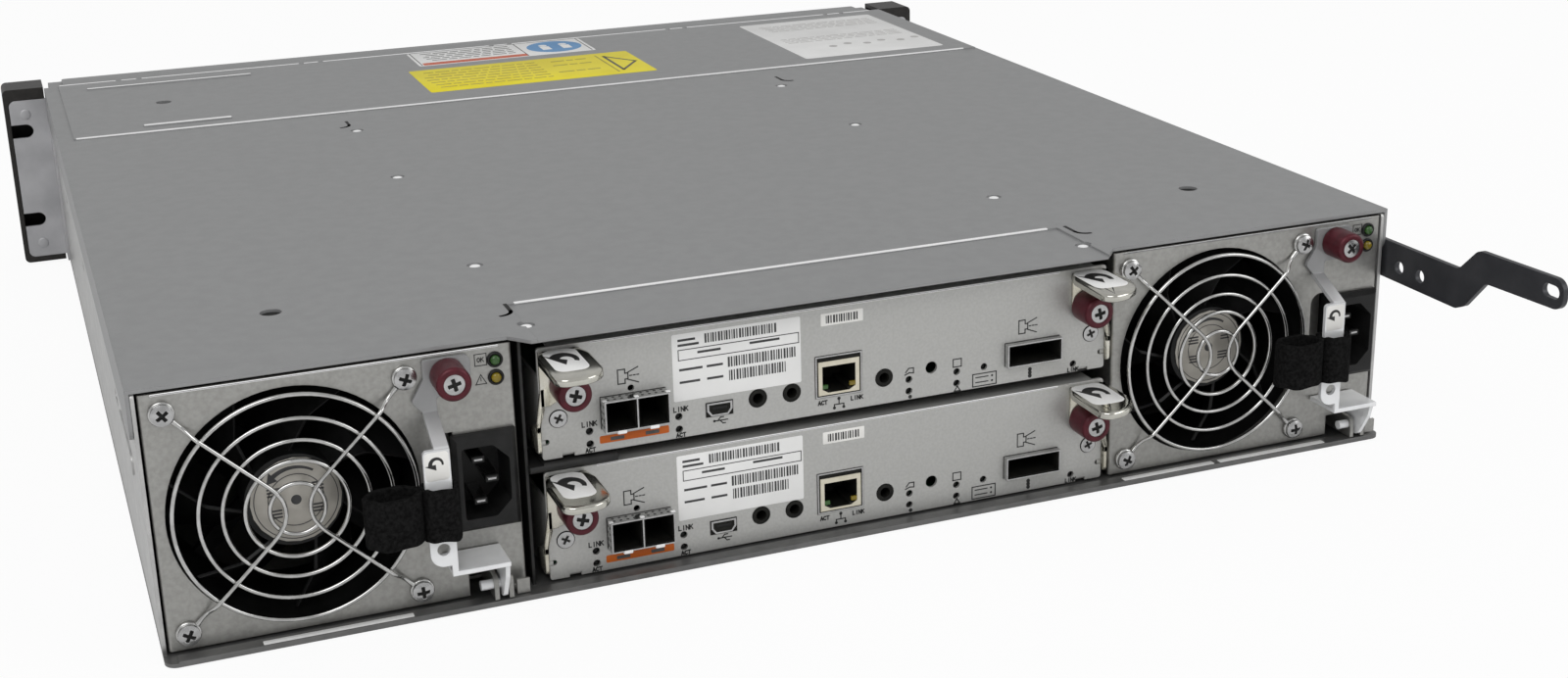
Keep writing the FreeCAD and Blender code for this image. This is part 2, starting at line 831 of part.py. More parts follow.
def drive_blank(index):
    # hollow filler for an empty bay, with vents in its face and two spring fingers behind
    x = bay_x(index)
    half = carrier_width / 2
    face = slab(
        "y",
        rectangle((x - half, x + half), (carrier_low, carrier_top)),
        1.2,
        bezel_front_y,
        bezel_front_y + 3,
    )
    face = face.cut(
        vent_slots(
            x,
            (bezel_front_y - 1, bezel_front_y + 4),
            carrier_low + 6,
            carrier_top - 6,
            vent_rows,
            carrier_window,
        )
    )
    pieces = [face]
    for side in (-1, 1):
        edge = x + side * half
        pieces.append(
            block(
                (edge, edge - side * blank_wall),
                (bezel_front_y + 2, blank_depth - 20.0),
                (carrier_low + 8, carrier_top - 8),
            )
        )
    for z_pair in ((carrier_low, carrier_low + blank_wall), (carrier_top - blank_wall, carrier_top)):
        pieces.append(block((x - half, x + half), (bezel_front_y + 2, 6.0), z_pair))
    return joined(pieces)


def midplane_board():
    # board across the chassis between the drives and the modules, with air openings along its top
    board_left = cage_left - midplane_margin + 2.5
    board = block(
        (-board_left, board_left),
        (midplane_y, midplane_y + midplane_thickness),
        (sheet + seat_gap, inner_top - seat_gap),
    )
    cuts = []
    vent_top = inner_top - 4.0
    for index in range(6):
        pitch = 2 * (board_left - 8.0) / 6
        x = -board_left + 8.0 + pitch * (index + 0.5)
        corners = rectangle(
            (x - pitch / 2 + 5, x + pitch / 2 - 5), (vent_top - midplane_vent_height, vent_top)
        )
        cuts.append(slab("y", corners, 3.0, midplane_y - 1, midplane_y + midplane_thickness + 1))
    return board.cut(cuts)


def module_plug(x_mid, z_mid, width):
    # socket on the midplane's rear side for a power supply or a controller
    half = width / 2
    y_pair = (midplane_y + midplane_thickness, midplane_y + midplane_thickness + module_plug_depth)
    z_pair = (z_mid - module_plug_height / 2, z_mid + module_plug_height / 2)
    shell = block((x_mid - half, x_mid + half), y_pair, z_pair)
    mouth = block(
        (x_mid - half + plug_wall, x_mid + half - plug_wall),
        (y_pair[0] + plug_wall, y_pair[1] + 1),
        (z_pair[0] + plug_wall, z_pair[1] - plug_wall),
    )
    return shell.cut(mouth)


def midplane_connectors():
    # one drive connector per bay on the front side, and the module sockets on the rear side
    plugs = []
    for index in range(bay_count):
        x = bay_x(index)
        plugs.append(
            block(
                (x - drive_plug_width / 2, x + drive_plug_width / 2),
                (midplane_y - drive_plug_depth, midplane_y),
                (carrier_low + 4, carrier_low + 4 + drive_plug_height),
            )
        )
    for supply in range(2):
        x = across(psu_left + supply * psu_pitch + psu_width / 2)
        plugs.append(module_plug(x, psu_plug_z, module_plug_width))
    for controller in range(2):
        x = across(controller_left + controller_width / 2)
        plugs.append(module_plug(x, controller_plug_z + controller * controller_pitch, module_plug_width))
    return plugs


# ---------------------------------------------------------------- bay walls and shelf


def bay_wall(position, setback):
    # upright sheet between a power supply bay and the controllers
    x_pair = (across(position), across(position + wall_sheet))
    y_start = midplane_y + midplane_thickness + 2.0
    wall = block(x_pair, (y_start, behind(-setback)), (sheet, inner_top + seat_gap))
    top_flange = block(
        (across(position), across(position) - 2.0),
        (y_start, y_start + 60.0),
        (inner_top - wall_sheet, inner_top + seat_gap),
    )
    return joined([wall, top_flange])


def controller_shelf():
    # shelf between the two controllers, with a rolled lip at its rear left corner
    x_left = across(left_wall_across + wall_sheet)
    x_right = across(right_wall_across)
    top = controller_bottom + controller_pitch - 0.7
    low = top - sheet
    y_start = midplane_y + midplane_thickness + module_plug_depth + 12.0
    plate = block((x_left, x_right), (y_start, behind(-shelf_setback)), (low, top))
    # the right-hand corner is cut back so that the lever beside it can swing
    plate = plate.cut(
        block((x_right, x_right + 6.0), (behind(-right_wall_setback), behind(1)), (low - 1, top + 1))
    )
    lip_low = controller_bottom + controller_height + 0.4
    lip = slab(
        "x",
        rectangle((behind(-shelf_setback) - 0.5, behind(1.6)), (lip_low, top)),
        [0, shelf_lip_r, shelf_lip_r, 0],
        x_left - shelf_lip_length,
        x_left,
    )
    lever_room = block(
        (x_left, x_left - 4.6),
        (behind(-lever_arm_depth - 6), behind(3)),
        (top - 0.6, top + 2),
    )
    return joined([plate, lip]).cut(lever_room)


# ---------------------------------------------------------------- power supplies

psu_x = across(psu_left)
psu_top = psu_bottom + psu_height
psu_plug_z = psu_bottom + 30.0
fan_x = psu_x - fan_left - fan_size / 2
fan_z = psu_bottom + fan_bottom + fan_size / 2
fan_front_y = behind(-psu_face - seat_gap)
pivot_y = behind(handle_pivot_behind)
pivot_z = psu_bottom + handle_pivot_z


def supply_x(distance):
    # X of a point this far from the first supply's left side as seen from the rear
    return psu_x - distance


def fan_corners():
    # the four screw positions round the fan, as (X, Z)
    half = fan_screw_spacing / 2
    return [(fan_x + a * half, fan_z + b * half) for a in (-1, 1) for b in (-1, 1)]


def supply_face_cuts():
    # every opening in the supply's face
    cuts = [rod_y(fan_x, fan_z, behind(-psu_face - 1), behind(1), fan_bore_r)]
    for x, z in fan_corners():
        cuts.append(rod_y(x, z, behind(-psu_face - 1), behind(1), screw_shank_r + running_gap))
    for z in light_z:
        cuts.append(
            rod_y(
                supply_x(light_across),
                psu_bottom + z,
                behind(-psu_face - 1),
                behind(1),
                light_lens_r + 0.45,
            )
        )
    cuts.append(
        rod_y(
            supply_x(psu_thumb_across),
            psu_bottom + psu_thumb_z,
            behind(-psu_face - 1),
            behind(1),
            thumb_entry_r,
        )
    )
    inset = inlet_body_inset - inlet_body_gap
    cuts.append(
        block(
            (supply_x(inlet_left + inset), supply_x(inlet_left + inlet_width - inset)),
            (behind(-psu_face - 1), behind(1)),
            (psu_bottom + inlet_low + inset, psu_bottom + inlet_low + inlet_height - inset),
        )
    )
    cuts.append(
        slab(
            "y",
            rectangle(
                (supply_x(pocket_left + 8.0), supply_x(pocket_left)),
                (psu_bottom + inlet_low - 1.0, psu_bottom + inlet_low + inlet_height + 1.0),
            ),
            [0, pocket_corner_r, pocket_corner_r, 0],
            behind(-psu_face - 1),
            behind(1),
        )
    )
    cuts.append(
        block(
            (supply_x(notch_left), supply_x(notch_left + notch_width)),
            (behind(-14.0), behind(1)),
            (psu_bottom - 1, psu_bottom + notch_height),
        )
    )
    return cuts


def finger_pocket():
    # drawn pocket behind the grip, welded to the back of the face
    x_pair = (supply_x(pocket_left + 8.0), supply_x(pocket_left))
    z_pair = (psu_bottom + inlet_low - 1.0, psu_bottom + inlet_low + inlet_height + 1.0)
    outer = block(
        (x_pair[0], x_pair[1] + psu_shell),
        (behind(-pocket_depth - psu_shell), behind(-psu_face)),
        (z_pair[0] - psu_shell, z_pair[1] + psu_shell),
    )
    inner = slab(
        "y",
        rectangle(x_pair, z_pair),
        [0, pocket_corner_r, pocket_corner_r, 0],
        behind(-pocket_depth),
        behind(1),
    )
    return outer.cut(inner)


def psu_case():
    # sheet-metal case: face, shell, finger pocket and the brackets that carry the handle's pivot
    face = block((psu_x, supply_x(psu_width)), (behind(-psu_face), behind(0)), (psu_bottom, psu_top))
    upright = [
        edge
        for edge in face.Edges
        if abs(edge.tangentAt(edge.FirstParameter).z) > 0.99 and edge.Vertexes[0].Y > rear_y - 0.1
    ]
    face = face.makeFillet(psu_face * 0.9, upright)
    inset = psu_shell_inset
    shell = block(
        (supply_x(inset), supply_x(psu_width - inset)),
        (behind(-psu_length), behind(-psu_face + 0.2)),
        (psu_bottom, psu_top - 0.4),
    )
    hollow = block(
        (supply_x(inset + psu_shell), supply_x(psu_width - inset - psu_shell)),
        (behind(-psu_length + psu_shell), behind(-psu_face)),
        (psu_bottom + psu_shell, psu_top - 0.4 - psu_shell),
    )
    mouth_x = supply_x(psu_width / 2)
    front_slots = vent_slots(
        mouth_x, (behind(-psu_length - 1), behind(-psu_length + 2)), psu_bottom + 46, psu_top - 6, 5, 84.0
    )
    front_slots.append(
        block(
            (mouth_x - plug_tongue_half - plug_gap, mouth_x + plug_tongue_half + plug_gap),
            (behind(-psu_length - 1), behind(-psu_length + 2)),
            (psu_plug_z - plug_tongue_z - plug_gap, psu_plug_z + plug_tongue_z + plug_gap),
        )
    )
    body = joined([face, shell.cut([hollow] + front_slots)]).cut(supply_face_cuts())
    brackets = []
    ear = handle_shelf_right - handle_sheet / 2
    for position in (
        ear - handle_ear_inset - pivot_bracket_sheet / 2, ear + handle_ear_inset + pivot_bracket_sheet / 2
    ):
        x_mid = supply_x(position)
        corners = [
            (behind(-13.0), psu_bottom),
            (behind(handle_pivot_behind + 2.6), psu_bottom),
            (behind(handle_pivot_behind + 2.6), pivot_z + 3.0),
            (behind(-2.0), pivot_z + 3.0),
            (behind(-13.0), psu_bottom + 2.0),
        ]
        brackets.append(
            slab(
                "x",
                corners,
                [0, 0, 2.5, 1.0, 0],
                x_mid - pivot_bracket_sheet / 2,
                x_mid + pivot_bracket_sheet / 2,
            )
        )
    tab_x = (supply_x(psu_width - 0.2), supply_x(psu_width - 0.2 - stop_tab_width))
    tab_out = behind(stop_tab_reach)
    tab_foot = block(tab_x, (behind(-0.5), tab_out), (psu_bottom, psu_bottom + psu_shell))
    tab_lip = block(tab_x, (tab_out - psu_shell, tab_out), (psu_bottom, psu_bottom + stop_tab_height))
    floor_strip = block(
        (supply_x(notch_left - 1), supply_x(notch_left + notch_width + 1)),
        (behind(-16.0), behind(-12.0)),
        (psu_bottom, psu_bottom + psu_shell),
    )
    body = joined([body, finger_pocket(), floor_strip, tab_foot, tab_lip] + brackets)
    bore = rod_x(
        pivot_y,
        pivot_z,
        supply_x(notch_left),
        supply_x(notch_left + notch_width),
        handle_pivot_r + running_gap,
    )
    return body.cut(bore)


def fan_frame():
    # square fan housing with a round bore, corner holes, and struts that hold the motor base
    y_back = fan_front_y
    y_front = fan_front_y - fan_thickness
    half = fan_size / 2
    frame = slab(
        "y", rectangle((fan_x - half, fan_x + half), (fan_z - half, fan_z + half)), 4.0, y_front, y_back
    )
    frame = frame.cut(rod_y(fan_x, fan_z, y_front - 1, y_back + 1, fan_bore_r))
    waist = []
    for x_pair, z_pair in (
        ((fan_x - half - 1, fan_x + half + 1), (fan_z - half - 1, fan_z - half + 2)),
        ((fan_x - half - 1, fan_x + half + 1), (fan_z + half - 2, fan_z + half + 1)),
        ((fan_x - half - 1, fan_x - half + 2), (fan_z - half - 1, fan_z + half + 1)),
        ((fan_x + half - 2, fan_x + half + 1), (fan_z - half - 1, fan_z + half + 1)),
    ):
        waist.append(block(x_pair, (y_front + 5.0, y_back - 5.0), z_pair))
    core = rod_y(fan_x, fan_z, y_front, y_back, fan_bore_r + 1.4)
    frame = frame.cut([w.cut(core) for w in waist])
    struts = []
    for turn in range(4):
        bar = block(
            (fan_x - fan_strut_width / 2, fan_x + fan_strut_width / 2),
            (y_front, y_front + 3.0),
            (fan_z + fan_hub_r - 2, fan_z + fan_bore_r + 0.8),
        )
        bar.rotate(Vector(fan_x, 0, fan_z), Vector(0, 1, 0), 45 + 90 * turn)
        struts.append(bar)
    base = rod_y(fan_x, fan_z, y_front, y_front + fan_motor_depth, fan_hub_r)
    axle_seat = rod_y(fan_x, fan_z, y_front + 2.0, y_front + fan_motor_depth + 1, fan_axle_r + fan_axle_gap)
    frame = joined([frame, base] + struts).cut(axle_seat)
    holes = [rod_y(x, z, y_back - screw_length, y_back + 1, fan_screw_hole_r) for x, z in fan_corners()]
    return frame.cut(holes)


def fan_blade(hub_y_low, hub_y_high):
    # one swept and pitched blade, lofted from its root to its tip
    sections = []
    for share in (0.0, 0.5, 1.0):
        radius = fan_hub_r - 0.6 + share * (fan_rotor_r - fan_hub_r + 0.6)
        turn = math.radians(fan_blade_sweep * share)
        chord = math.radians(40.0 - 6.0 * share)
        corners = []
        for end, y in ((0.0, hub_y_low + 2.0), (1.0, hub_y_high - 2.0)):
            angle = turn + chord * end
            corners.append(Vector(fan_x + radius * math.cos(angle), y, fan_z + radius * math.sin(angle)))
        along = corners[1] - corners[0]
        outward = Vector(math.cos(turn + chord / 2), 0, math.sin(turn + chord / 2))
        side = along.cross(outward)
        side.normalize()
        side = side * (fan_blade_thickness / 2)
        ring = [corners[0] - side, corners[1] - side, corners[1] + side, corners[0] + side]
        sections.append(Part.makePolygon(ring + [ring[0]]))
    return Part.makeLoft(sections, True, True)


def fan_rotor():
    # hub cup, axle and swept blades
    y_back = fan_front_y - 3.0
    y_front = fan_front_y - fan_thickness + fan_motor_depth + 0.6
    hub = rod_y(fan_x, fan_z, y_front, y_back, fan_hub_r)
    axle = rod_y(fan_x, fan_z, y_front - fan_motor_depth + 2.2, y_front + 1.0, fan_axle_r)
    blades = []
    tip_limit = rod_y(fan_x, fan_z, y_front, y_back, fan_rotor_r)
    for index in range(fan_blade_count):
        blade = fan_blade(y_front + 1.0, y_back - 1.0)
        blade.rotate(Vector(fan_x, 0, fan_z), Vector(0, 1, 0), index * 360.0 / fan_blade_count)
        blades.append(blade.common(tip_limit))
    return hub.multiFuse([axle] + blades)


def wire_section(centre, normal, radius):
    # small polygon for a wire's section, square to the wire
    side = normal.cross(Vector(0, 1, 0))
    side.normalize()
    up = Vector(0, 1, 0)
    ring = []
    for step in range(guard_sides):
        angle = 2 * math.pi * (step + 0.5) / guard_sides
        ring.append(centre + side * (radius * math.cos(angle)) + up * (radius * math.sin(angle)))
    return Part.makePolygon(ring + [ring[0]])


def guard_ring(radius, y):
    # one closed wire ring
    section = wire_section(Vector(fan_x + radius, y, fan_z), Vector(0, 0, 1), guard_wire_r)
    return Part.Face(section).revolve(Vector(fan_x, y, fan_z), Vector(0, 1, 0), 360)


def guard_spoke(side):
    # one bowed wire from a lower corner eye to the upper one on the same side, bent in to near the middle
    low = behind(guard_stand + 2 * guard_wire_r - guard_overlap)
    foot = behind(guard_wire_r + 0.05)
    eye = fan_screw_spacing / 2 - 1.5
    depths = (behind(guard_spoke_rise),) + (low,) * (len(guard_spoke_bends) - 1)
    lower = [Vector(fan_x + side * eye, foot, fan_z - eye)]
    upper = [Vector(fan_x + side * eye, foot, fan_z + eye)]
    for (out, up), depth in zip(guard_spoke_bends, depths):
        lower.append(Vector(fan_x + side * out, depth, fan_z - up))
        upper.append(Vector(fan_x + side * out, depth, fan_z + up))
    path = lower + upper[-2::-1]
    bars = []
    for start, end in zip(path[:-1], path[1:]):
        bars.append(bar_between(start, end, guard_wire_r))
    return bars


def bar_between(start, end, radius):
    # straight wire of polygon section between two points, a little longer than the gap so that bends close
    direction = end - start
    direction.normalize()
    section = wire_section(start - direction * guard_overlap, direction, radius)
    return Part.Face(section).extrude(end - start + direction * 2 * guard_overlap)


def guard_eye(x, z):
    # flat washer-like loop under a corner screw
    y_low = behind(0.05)
    y_high = behind(0.05 + 2 * guard_wire_r)
    ring = rod_y(x, z, y_low, y_high, guard_eye_r)
    return ring.cut(rod_y(x, z, y_low - 1, y_high + 1, screw_shank_r + 0.1))


def fan_guard():
    # wire finger guard: rings welded on two bowed spokes, with an eye at each corner
    pieces = [guard_ring(radius, behind(guard_stand)) for radius in guard_ring_radii]
    for side in (-1, 1):
        pieces += guard_spoke(side)
    for x, z in fan_corners():
        pieces.append(guard_eye(x, z))
    return pieces[0].multiFuse(pieces[1:])


def guard_screws():
    # pan-head screws through the guard, the face and the fan frame's corners
    screws = []
    seat = behind(0.05 + 2 * guard_wire_r)
    for x, z in fan_corners():
        head = rod_y(x, z, seat, seat + screw_head_height, screw_head_r)
        shank = rod_y(x, z, seat - screw_length, seat, screw_shank_r)
        cross = [
            block((x - 0.4, x + 0.4), (seat + 0.8, seat + 3), (z - 1.7, z + 1.7)),
            block((x - 1.7, x + 1.7), (seat + 0.8, seat + 3), (z - 0.4, z + 0.4)),
        ]
        screws.append(joined([head, shank]).cut(cross))
    return screws


def inlet_cavity(grow, y_from, y_to):
    # three-pin mains cavity, tall, with the two corners on the earth side cut off
    mid_x = supply_x(inlet_left + inlet_width / 2)
    mid_z = psu_bottom + inlet_low + inlet_height / 2
    half_x = inlet_cavity_width / 2 + grow
    half_z = inlet_cavity_height / 2 + grow
    cut = inlet_cavity_chamfer
    corners = [
        (mid_x + half_x, mid_z - half_z),
        (mid_x + half_x, mid_z + half_z),
        (mid_x - half_x + cut, mid_z + half_z),
        (mid_x - half_x, mid_z + half_z - cut),
        (mid_x - half_x, mid_z - half_z + cut),
        (mid_x - half_x + cut, mid_z - half_z),
    ]
    return slab("y", corners, [1.0, 1.0, 1.5, 1.5, 1.5, 1.5], y_from, y_to)


def inlet():
    # mains inlet: bevelled flange on the face, body through it, and three blades in its cavity
    left = supply_x(inlet_left)
    right = supply_x(inlet_left + inlet_width)
    low = psu_bottom + inlet_low
    high = low + inlet_height
    y_face = behind(0.05)
    flange = block((left, right), (y_face, y_face + inlet_flange), (low, high))
    outer = [e for e in flange.Edges if abs(e.CenterOfMass.y - y_face - inlet_flange) < 0.01]
    flange = flange.makeChamfer(inlet_bevel, outer)
    inset = inlet_body_inset
    body = block(
        (left - inset, right + inset),
        (behind(-inlet_depth), y_face + 0.5),
        (low + inset, high - inset),
    )
    shell = joined([flange, body]).cut(
        inlet_cavity(0.0, y_face + inlet_flange - inlet_cavity_depth, behind(5))
    )
    mid_x = supply_x(inlet_left + inlet_width / 2)
    mid_z = psu_bottom + inlet_low + inlet_height / 2
    root = y_face + inlet_flange - inlet_cavity_depth
    pins = []
    for x_shift, z_shift in (
        (pin_offset, pin_spacing / 2), (-pin_offset, 0.0), (pin_offset, -pin_spacing / 2)
    ):
        x = mid_x + x_shift
        z = mid_z + z_shift
        pins.append(
            block(
                (x - pin_height / 2, x + pin_height / 2),
                (root, root + pin_length),
                (z - pin_width / 2, z + pin_width / 2),
            )
        )
    return [shell] + pins


def psu_lights():
    # two indicator lights, each a domed lens in a round bezel
    lights = []
    for z in light_z:
        x = supply_x(light_across)
        spot = psu_bottom + z
        bezel = rod_y(x, spot, behind(0.05), behind(0.05 + light_proud), light_bezel_r)
        stem = rod_y(x, spot, behind(-4.0), behind(0.1), light_lens_r + 0.3)
        dome = Part.makeSphere(light_lens_r * 1.2, Vector(x, behind(light_proud - 0.6), spot))
        dome = dome.common(rod_y(x, spot, behind(0.2), behind(3), light_lens_r * 1.1))
        lights.append(joined([bezel, stem, dome]))
    return lights


def psu_connector():
    # card-edge plug on the supply's front end, in its midplane socket
    x = supply_x(psu_width / 2)
    half = plug_tongue_half
    tongue = block(
        (x - half, x + half),
        (midplane_y + midplane_thickness + plug_wall + plug_gap, behind(-psu_length + 6)),
        (psu_plug_z - plug_tongue_z, psu_plug_z + plug_tongue_z),
    )
    collar = block(
        (x - half - 1, x + half + 1),
        (behind(-psu_length + psu_shell + 0.05), behind(-psu_length + 6)),
        (psu_plug_z - 6.5, psu_plug_z + 6.5),
    )
    return joined([tongue, collar])


def psu_handle():
    # folded sheet handle: screw plate on the face, crank out to the grip, shelf and pivot ear at its foot
    out = behind(handle_stand)
    near = behind(handle_gap)
    t = handle_sheet
    left = supply_x(handle_left)
    right = supply_x(handle_left + handle_width)
    low = psu_bottom + handle_low
    bend = psu_bottom + handle_bend_z
    plate_low = psu_bottom + handle_plate_low
    grip = slab(
        "y",
        rectangle((right, left), (low, bend)),
        [0, handle_foot_r, 1.5, 0],
        out - t,
        out,
    )
    web = slab(
        "x",
        [
            (out, bend - 3.0),
            (out, bend),
            (near + t, plate_low + 1.0),
            (near + t, plate_low + 3.0),
            (near, plate_low + 3.0),
            (near, plate_low),
            (out - t, bend - 1.0),
            (out - t, bend - 3.0),
        ],
        [0, 2.0, 0.5, 0, 0, 1.5, 0.5, 0],
        right,
        right + handle_web_width,
    )
    web_left = right + handle_web_width
    plate_left = supply_x(handle_plate_left)
    plate_right = supply_x(handle_plate_left + handle_plate_width)
    plate_top = psu_bottom + handle_plate_top
    corner_x, corner_z = handle_plate_corner
    plate = slab(
        "y",
        [
            (plate_left, plate_top - 6.0),
            (plate_left, plate_top),
            (plate_right, plate_top),
            (plate_right, plate_top - 6.5),
            (plate_right + 5.0, plate_low + 5.5),
            (right, plate_low + 5.5),
            (right, plate_low + 1.0),
            (web_left, plate_low + 1.0),
            (supply_x(corner_x), psu_bottom + corner_z),
        ],
        [2.0, 1.0, 2.0, 2.0, 2.0, 1.0, 0, 0, 1.5],
        near,
        near + t,
    )
    shelf_left = supply_x(handle_shelf_left)
    shelf_right = supply_x(handle_shelf_right)
    shelf_low = psu_bottom + handle_shelf_z
    shelf = block((shelf_left, shelf_right), (near + 0.4, out), (shelf_low, shelf_low + t))
    tie = block((shelf_left, right), (out - t, out), (shelf_low, low + 2.0))
    ear = slab(
        "x",
        [
            (out - 6.0, shelf_low + t),
            (pivot_y - handle_ear_r, pivot_z + handle_ear_r),
            (pivot_y - handle_ear_r, pivot_z - handle_ear_r),
            (pivot_y + handle_ear_r, pivot_z - handle_ear_r),
            (out - 2.6, pivot_z + 5.7),
            (out - 1.0, shelf_low + t),
        ],
        [0, 1.5, handle_ear_r * 0.95, 3.0, 1.5, 0],
        shelf_right,
        shelf_right + t,
    )
    pin = rod_x(
        pivot_y,
        pivot_z,
        supply_x(notch_left + 2.6),
        supply_x(notch_left + notch_width - 0.6),
        handle_pivot_r,
    )
    holes = [
        rod_y(left - handle_width / 2, psu_bottom + handle_hole_z, out - t - 1, out + 1, handle_hole_r),
        rod_y(
            supply_x(psu_thumb_across),
            psu_bottom + psu_thumb_z,
            near - 1,
            near + t + 1,
            thumb_stub_r + thumb_hole_gap,
        ),
    ]
    return joined([grip, web, plate, tie, shelf, ear, pin]).cut(holes)


def thumbscrew(x, z, seat_y):
    # coloured sleeve with a bevelled rim, a cross-head screw in its end and a stub through the plate
    top = seat_y + thumb_length
    sleeve = rod_y(x, z, seat_y, top, thumb_r)
    rim = [
        e for e in sleeve.Edges if abs(e.CenterOfMass.y - top) < 0.01 and e.Length > 1.5 * thumb_r * math.pi
    ]
    sleeve = sleeve.makeChamfer(thumb_edge, rim)
    stub = rod_y(x, z, behind(-thumb_stub_reach), seat_y + 1, thumb_stub_r)
    cuts = [
        rod_y(x, z, top - thumb_recess, top + 1, thumb_face_r),
        block((x - 0.5, x + 0.5), (top - 1.6, top + 1), (z - 1.9, z + 1.9)),
        block((x - 1.9, x + 1.9), (top - 1.6, top + 1), (z - 0.5, z + 0.5)),
    ]
    return joined([sleeve, stub]).cut(cuts)


def cable_strap():
    # soft cable strap: a close turn round the grip and an open loop beside it
    low = psu_bottom + strap_low
    high = low + strap_height
    out = behind(handle_stand)
    grip_left = supply_x(handle_left) + strap_gap
    grip_right = supply_x(handle_left + handle_width) - strap_gap
    t = strap_thickness
    turn_out = slab(
        "z",
        rectangle(
            (grip_right - t, grip_left + t), (out - handle_sheet - strap_gap - t, out + strap_gap + t)
        ),
        2.0,
        low,
        high,
    )
    turn_in = block(
        (grip_right, grip_left), (out - handle_sheet - strap_gap, out + strap_gap), (low - 1, high + 1)
    )
    loop_left = grip_left + t + strap_loop_width
    y_mid = out - handle_sheet / 2 - 0.4
    half = strap_loop_depth / 2
    loop_out = slab(
        "z",
        rectangle((grip_left + t - 1.2, loop_left), (y_mid - half, y_mid + half)),
        [3.0, strap_loop_r, strap_loop_r, 3.0],
        low,
        high,
    )
    loop_in = slab(
        "z",
        rectangle((grip_left + t + 0.6, loop_left - t), (y_mid - half + t, y_mid + half - t)),
        [2.0, strap_loop_r - t, strap_loop_r - t, 2.0],
        low - 1,
        high + 1,
    )
    return joined([turn_out, loop_out.cut(turn_in)]).cut([turn_in, loop_in])


# ---------------------------------------------------------------- controllers

controller_x = across(controller_left)
controller_plug_z = controller_bottom + 17.0
board_top = controller_bottom + board_z + board_thickness


def face_x(distance):
    # X of a point this far from the controller's left edge as seen from the rear
    return controller_x - distance


def port_opening(left, width, low, height, grow):
    # rectangular cut in the faceplate for one port
    return block(
        (face_x(left - grow), face_x(left + width + grow)),
        (behind(-controller_face - 2), behind(1)),
        (controller_bottom + low - grow, controller_bottom + low + height + grow),
    )


def lever_side_x(side, distance):
    # X at this distance inwards from the face edge beside a lever; side 0 is the left lever, 1 the right
    if side == 0:
        return face_x(distance)
    return face_x(controller_width - distance)


def controller_face_cuts():
    # every opening in a controller's faceplate
    gap = port_clearance
    cuts = [
        port_opening(cable_cage_left, cable_cage_width, cable_cage_low, cable_cage_height, gap),
        port_opening(usb_left, usb_width, usb_low, usb_height, gap),
        port_opening(network_left, network_width, network_low, network_height, gap),
        port_opening(expansion_left, expansion_width, expansion_low, expansion_height, gap),
    ]
    y_pair = (behind(-controller_face - 2), behind(1))
    for distance in jack_across:
        cuts.append(rod_y(face_x(distance), controller_bottom + jack_z, y_pair[0], y_pair[1], jack_r + gap))
    for distance, z in light_holes:
        cuts.append(rod_y(face_x(distance), controller_bottom + z, y_pair[0], y_pair[1], light_hole_r))
    for distance, z, radius in vent_holes:
        cuts.append(rod_y(face_x(distance), controller_bottom + z, y_pair[0], y_pair[1], radius))
    for side in (0, 1):
        x = lever_side_x(side, lever_thumb_in)
        cuts.append(rod_y(x, controller_bottom + lever_thumb_z, y_pair[0], y_pair[1], thumb_entry_r))
        edge = lever_side_x(side, -1.0)
        x_in = lever_side_x(side, 1.6)
        cuts.append(block((edge, x_in), y_pair, (controller_bottom + 5.0, controller_bottom + 6.9)))
        cuts.append(rod_y(x_in, controller_bottom + 5.95, y_pair[0], y_pair[1], 0.95))
        cuts.append(
            block(
                (lever_side_x(side, 6.5), lever_side_x(side, 10.5)),
                y_pair,
                (controller_bottom - 1, controller_bottom + 1.2),
            )
        )
    return cuts


def controller_tray():
    # folded tray with its faceplate, side walls, board posts and the lever pivots
    left = controller_x
    right = face_x(controller_width)
    low = controller_bottom
    front_end = behind(-controller_length)
    t = controller_sheet
    inset = controller_inset
    face = slab(
        "y",
        rectangle((right, left), (low, low + controller_height)),
        1.0,
        behind(-controller_face),
        behind(0),
    ).cut(controller_face_cuts())
    floor_low = low + 0.3
    floor = block(
        (left - inset, right + inset),
        (front_end, behind(-controller_face + 0.2)),
        (floor_low, floor_low + t),
    )
    face_top = low + controller_height
    lip = block(
        (left - 4.0, right + 4.0),
        (behind(-controller_lip), behind(-controller_face + 0.2)),
        (face_top - t, face_top),
    )
    pieces = [face, floor, lip]
    for side in (0, 1):
        outer = lever_side_x(side, inset)
        inner = lever_side_x(side, inset + t)
        pieces.append(
            block(
                (outer, inner),
                (front_end, behind(-controller_face + 0.2)),
                (floor_low, low + controller_side_height),
            )
        )
        pin_out = lever_side_x(side, -lever_arm_out - lever_sheet + 0.1)
        pieces.append(rod_x(behind(-lever_pivot_in), low + lever_pivot_z, inner, pin_out, lever_pivot_r))
        boss_out = lever_side_x(side, -lever_arm_out + 0.1)
        pieces.append(
            rod_x(behind(-lever_pivot_in), low + lever_pivot_z, inner, boss_out, lever_pivot_r + 1.0)
        )
    for distance in (30.0, controller_width / 2, controller_width - 30.0):
        for y in (behind(-60.0), front_end + 40.0):
            post = Part.makeCylinder(
                board_post_r, board_z - 0.3 - t, Vector(face_x(distance), y, floor_low + t)
            )
            pieces.append(post)
    for distance in (face_screw_in[0], controller_width - face_screw_in[1]):
        head = rod_y(face_x(distance), low + face_screw_z, behind(-0.2), behind(0.3), face_screw_r)
        pieces.append(head)
    return joined(pieces)


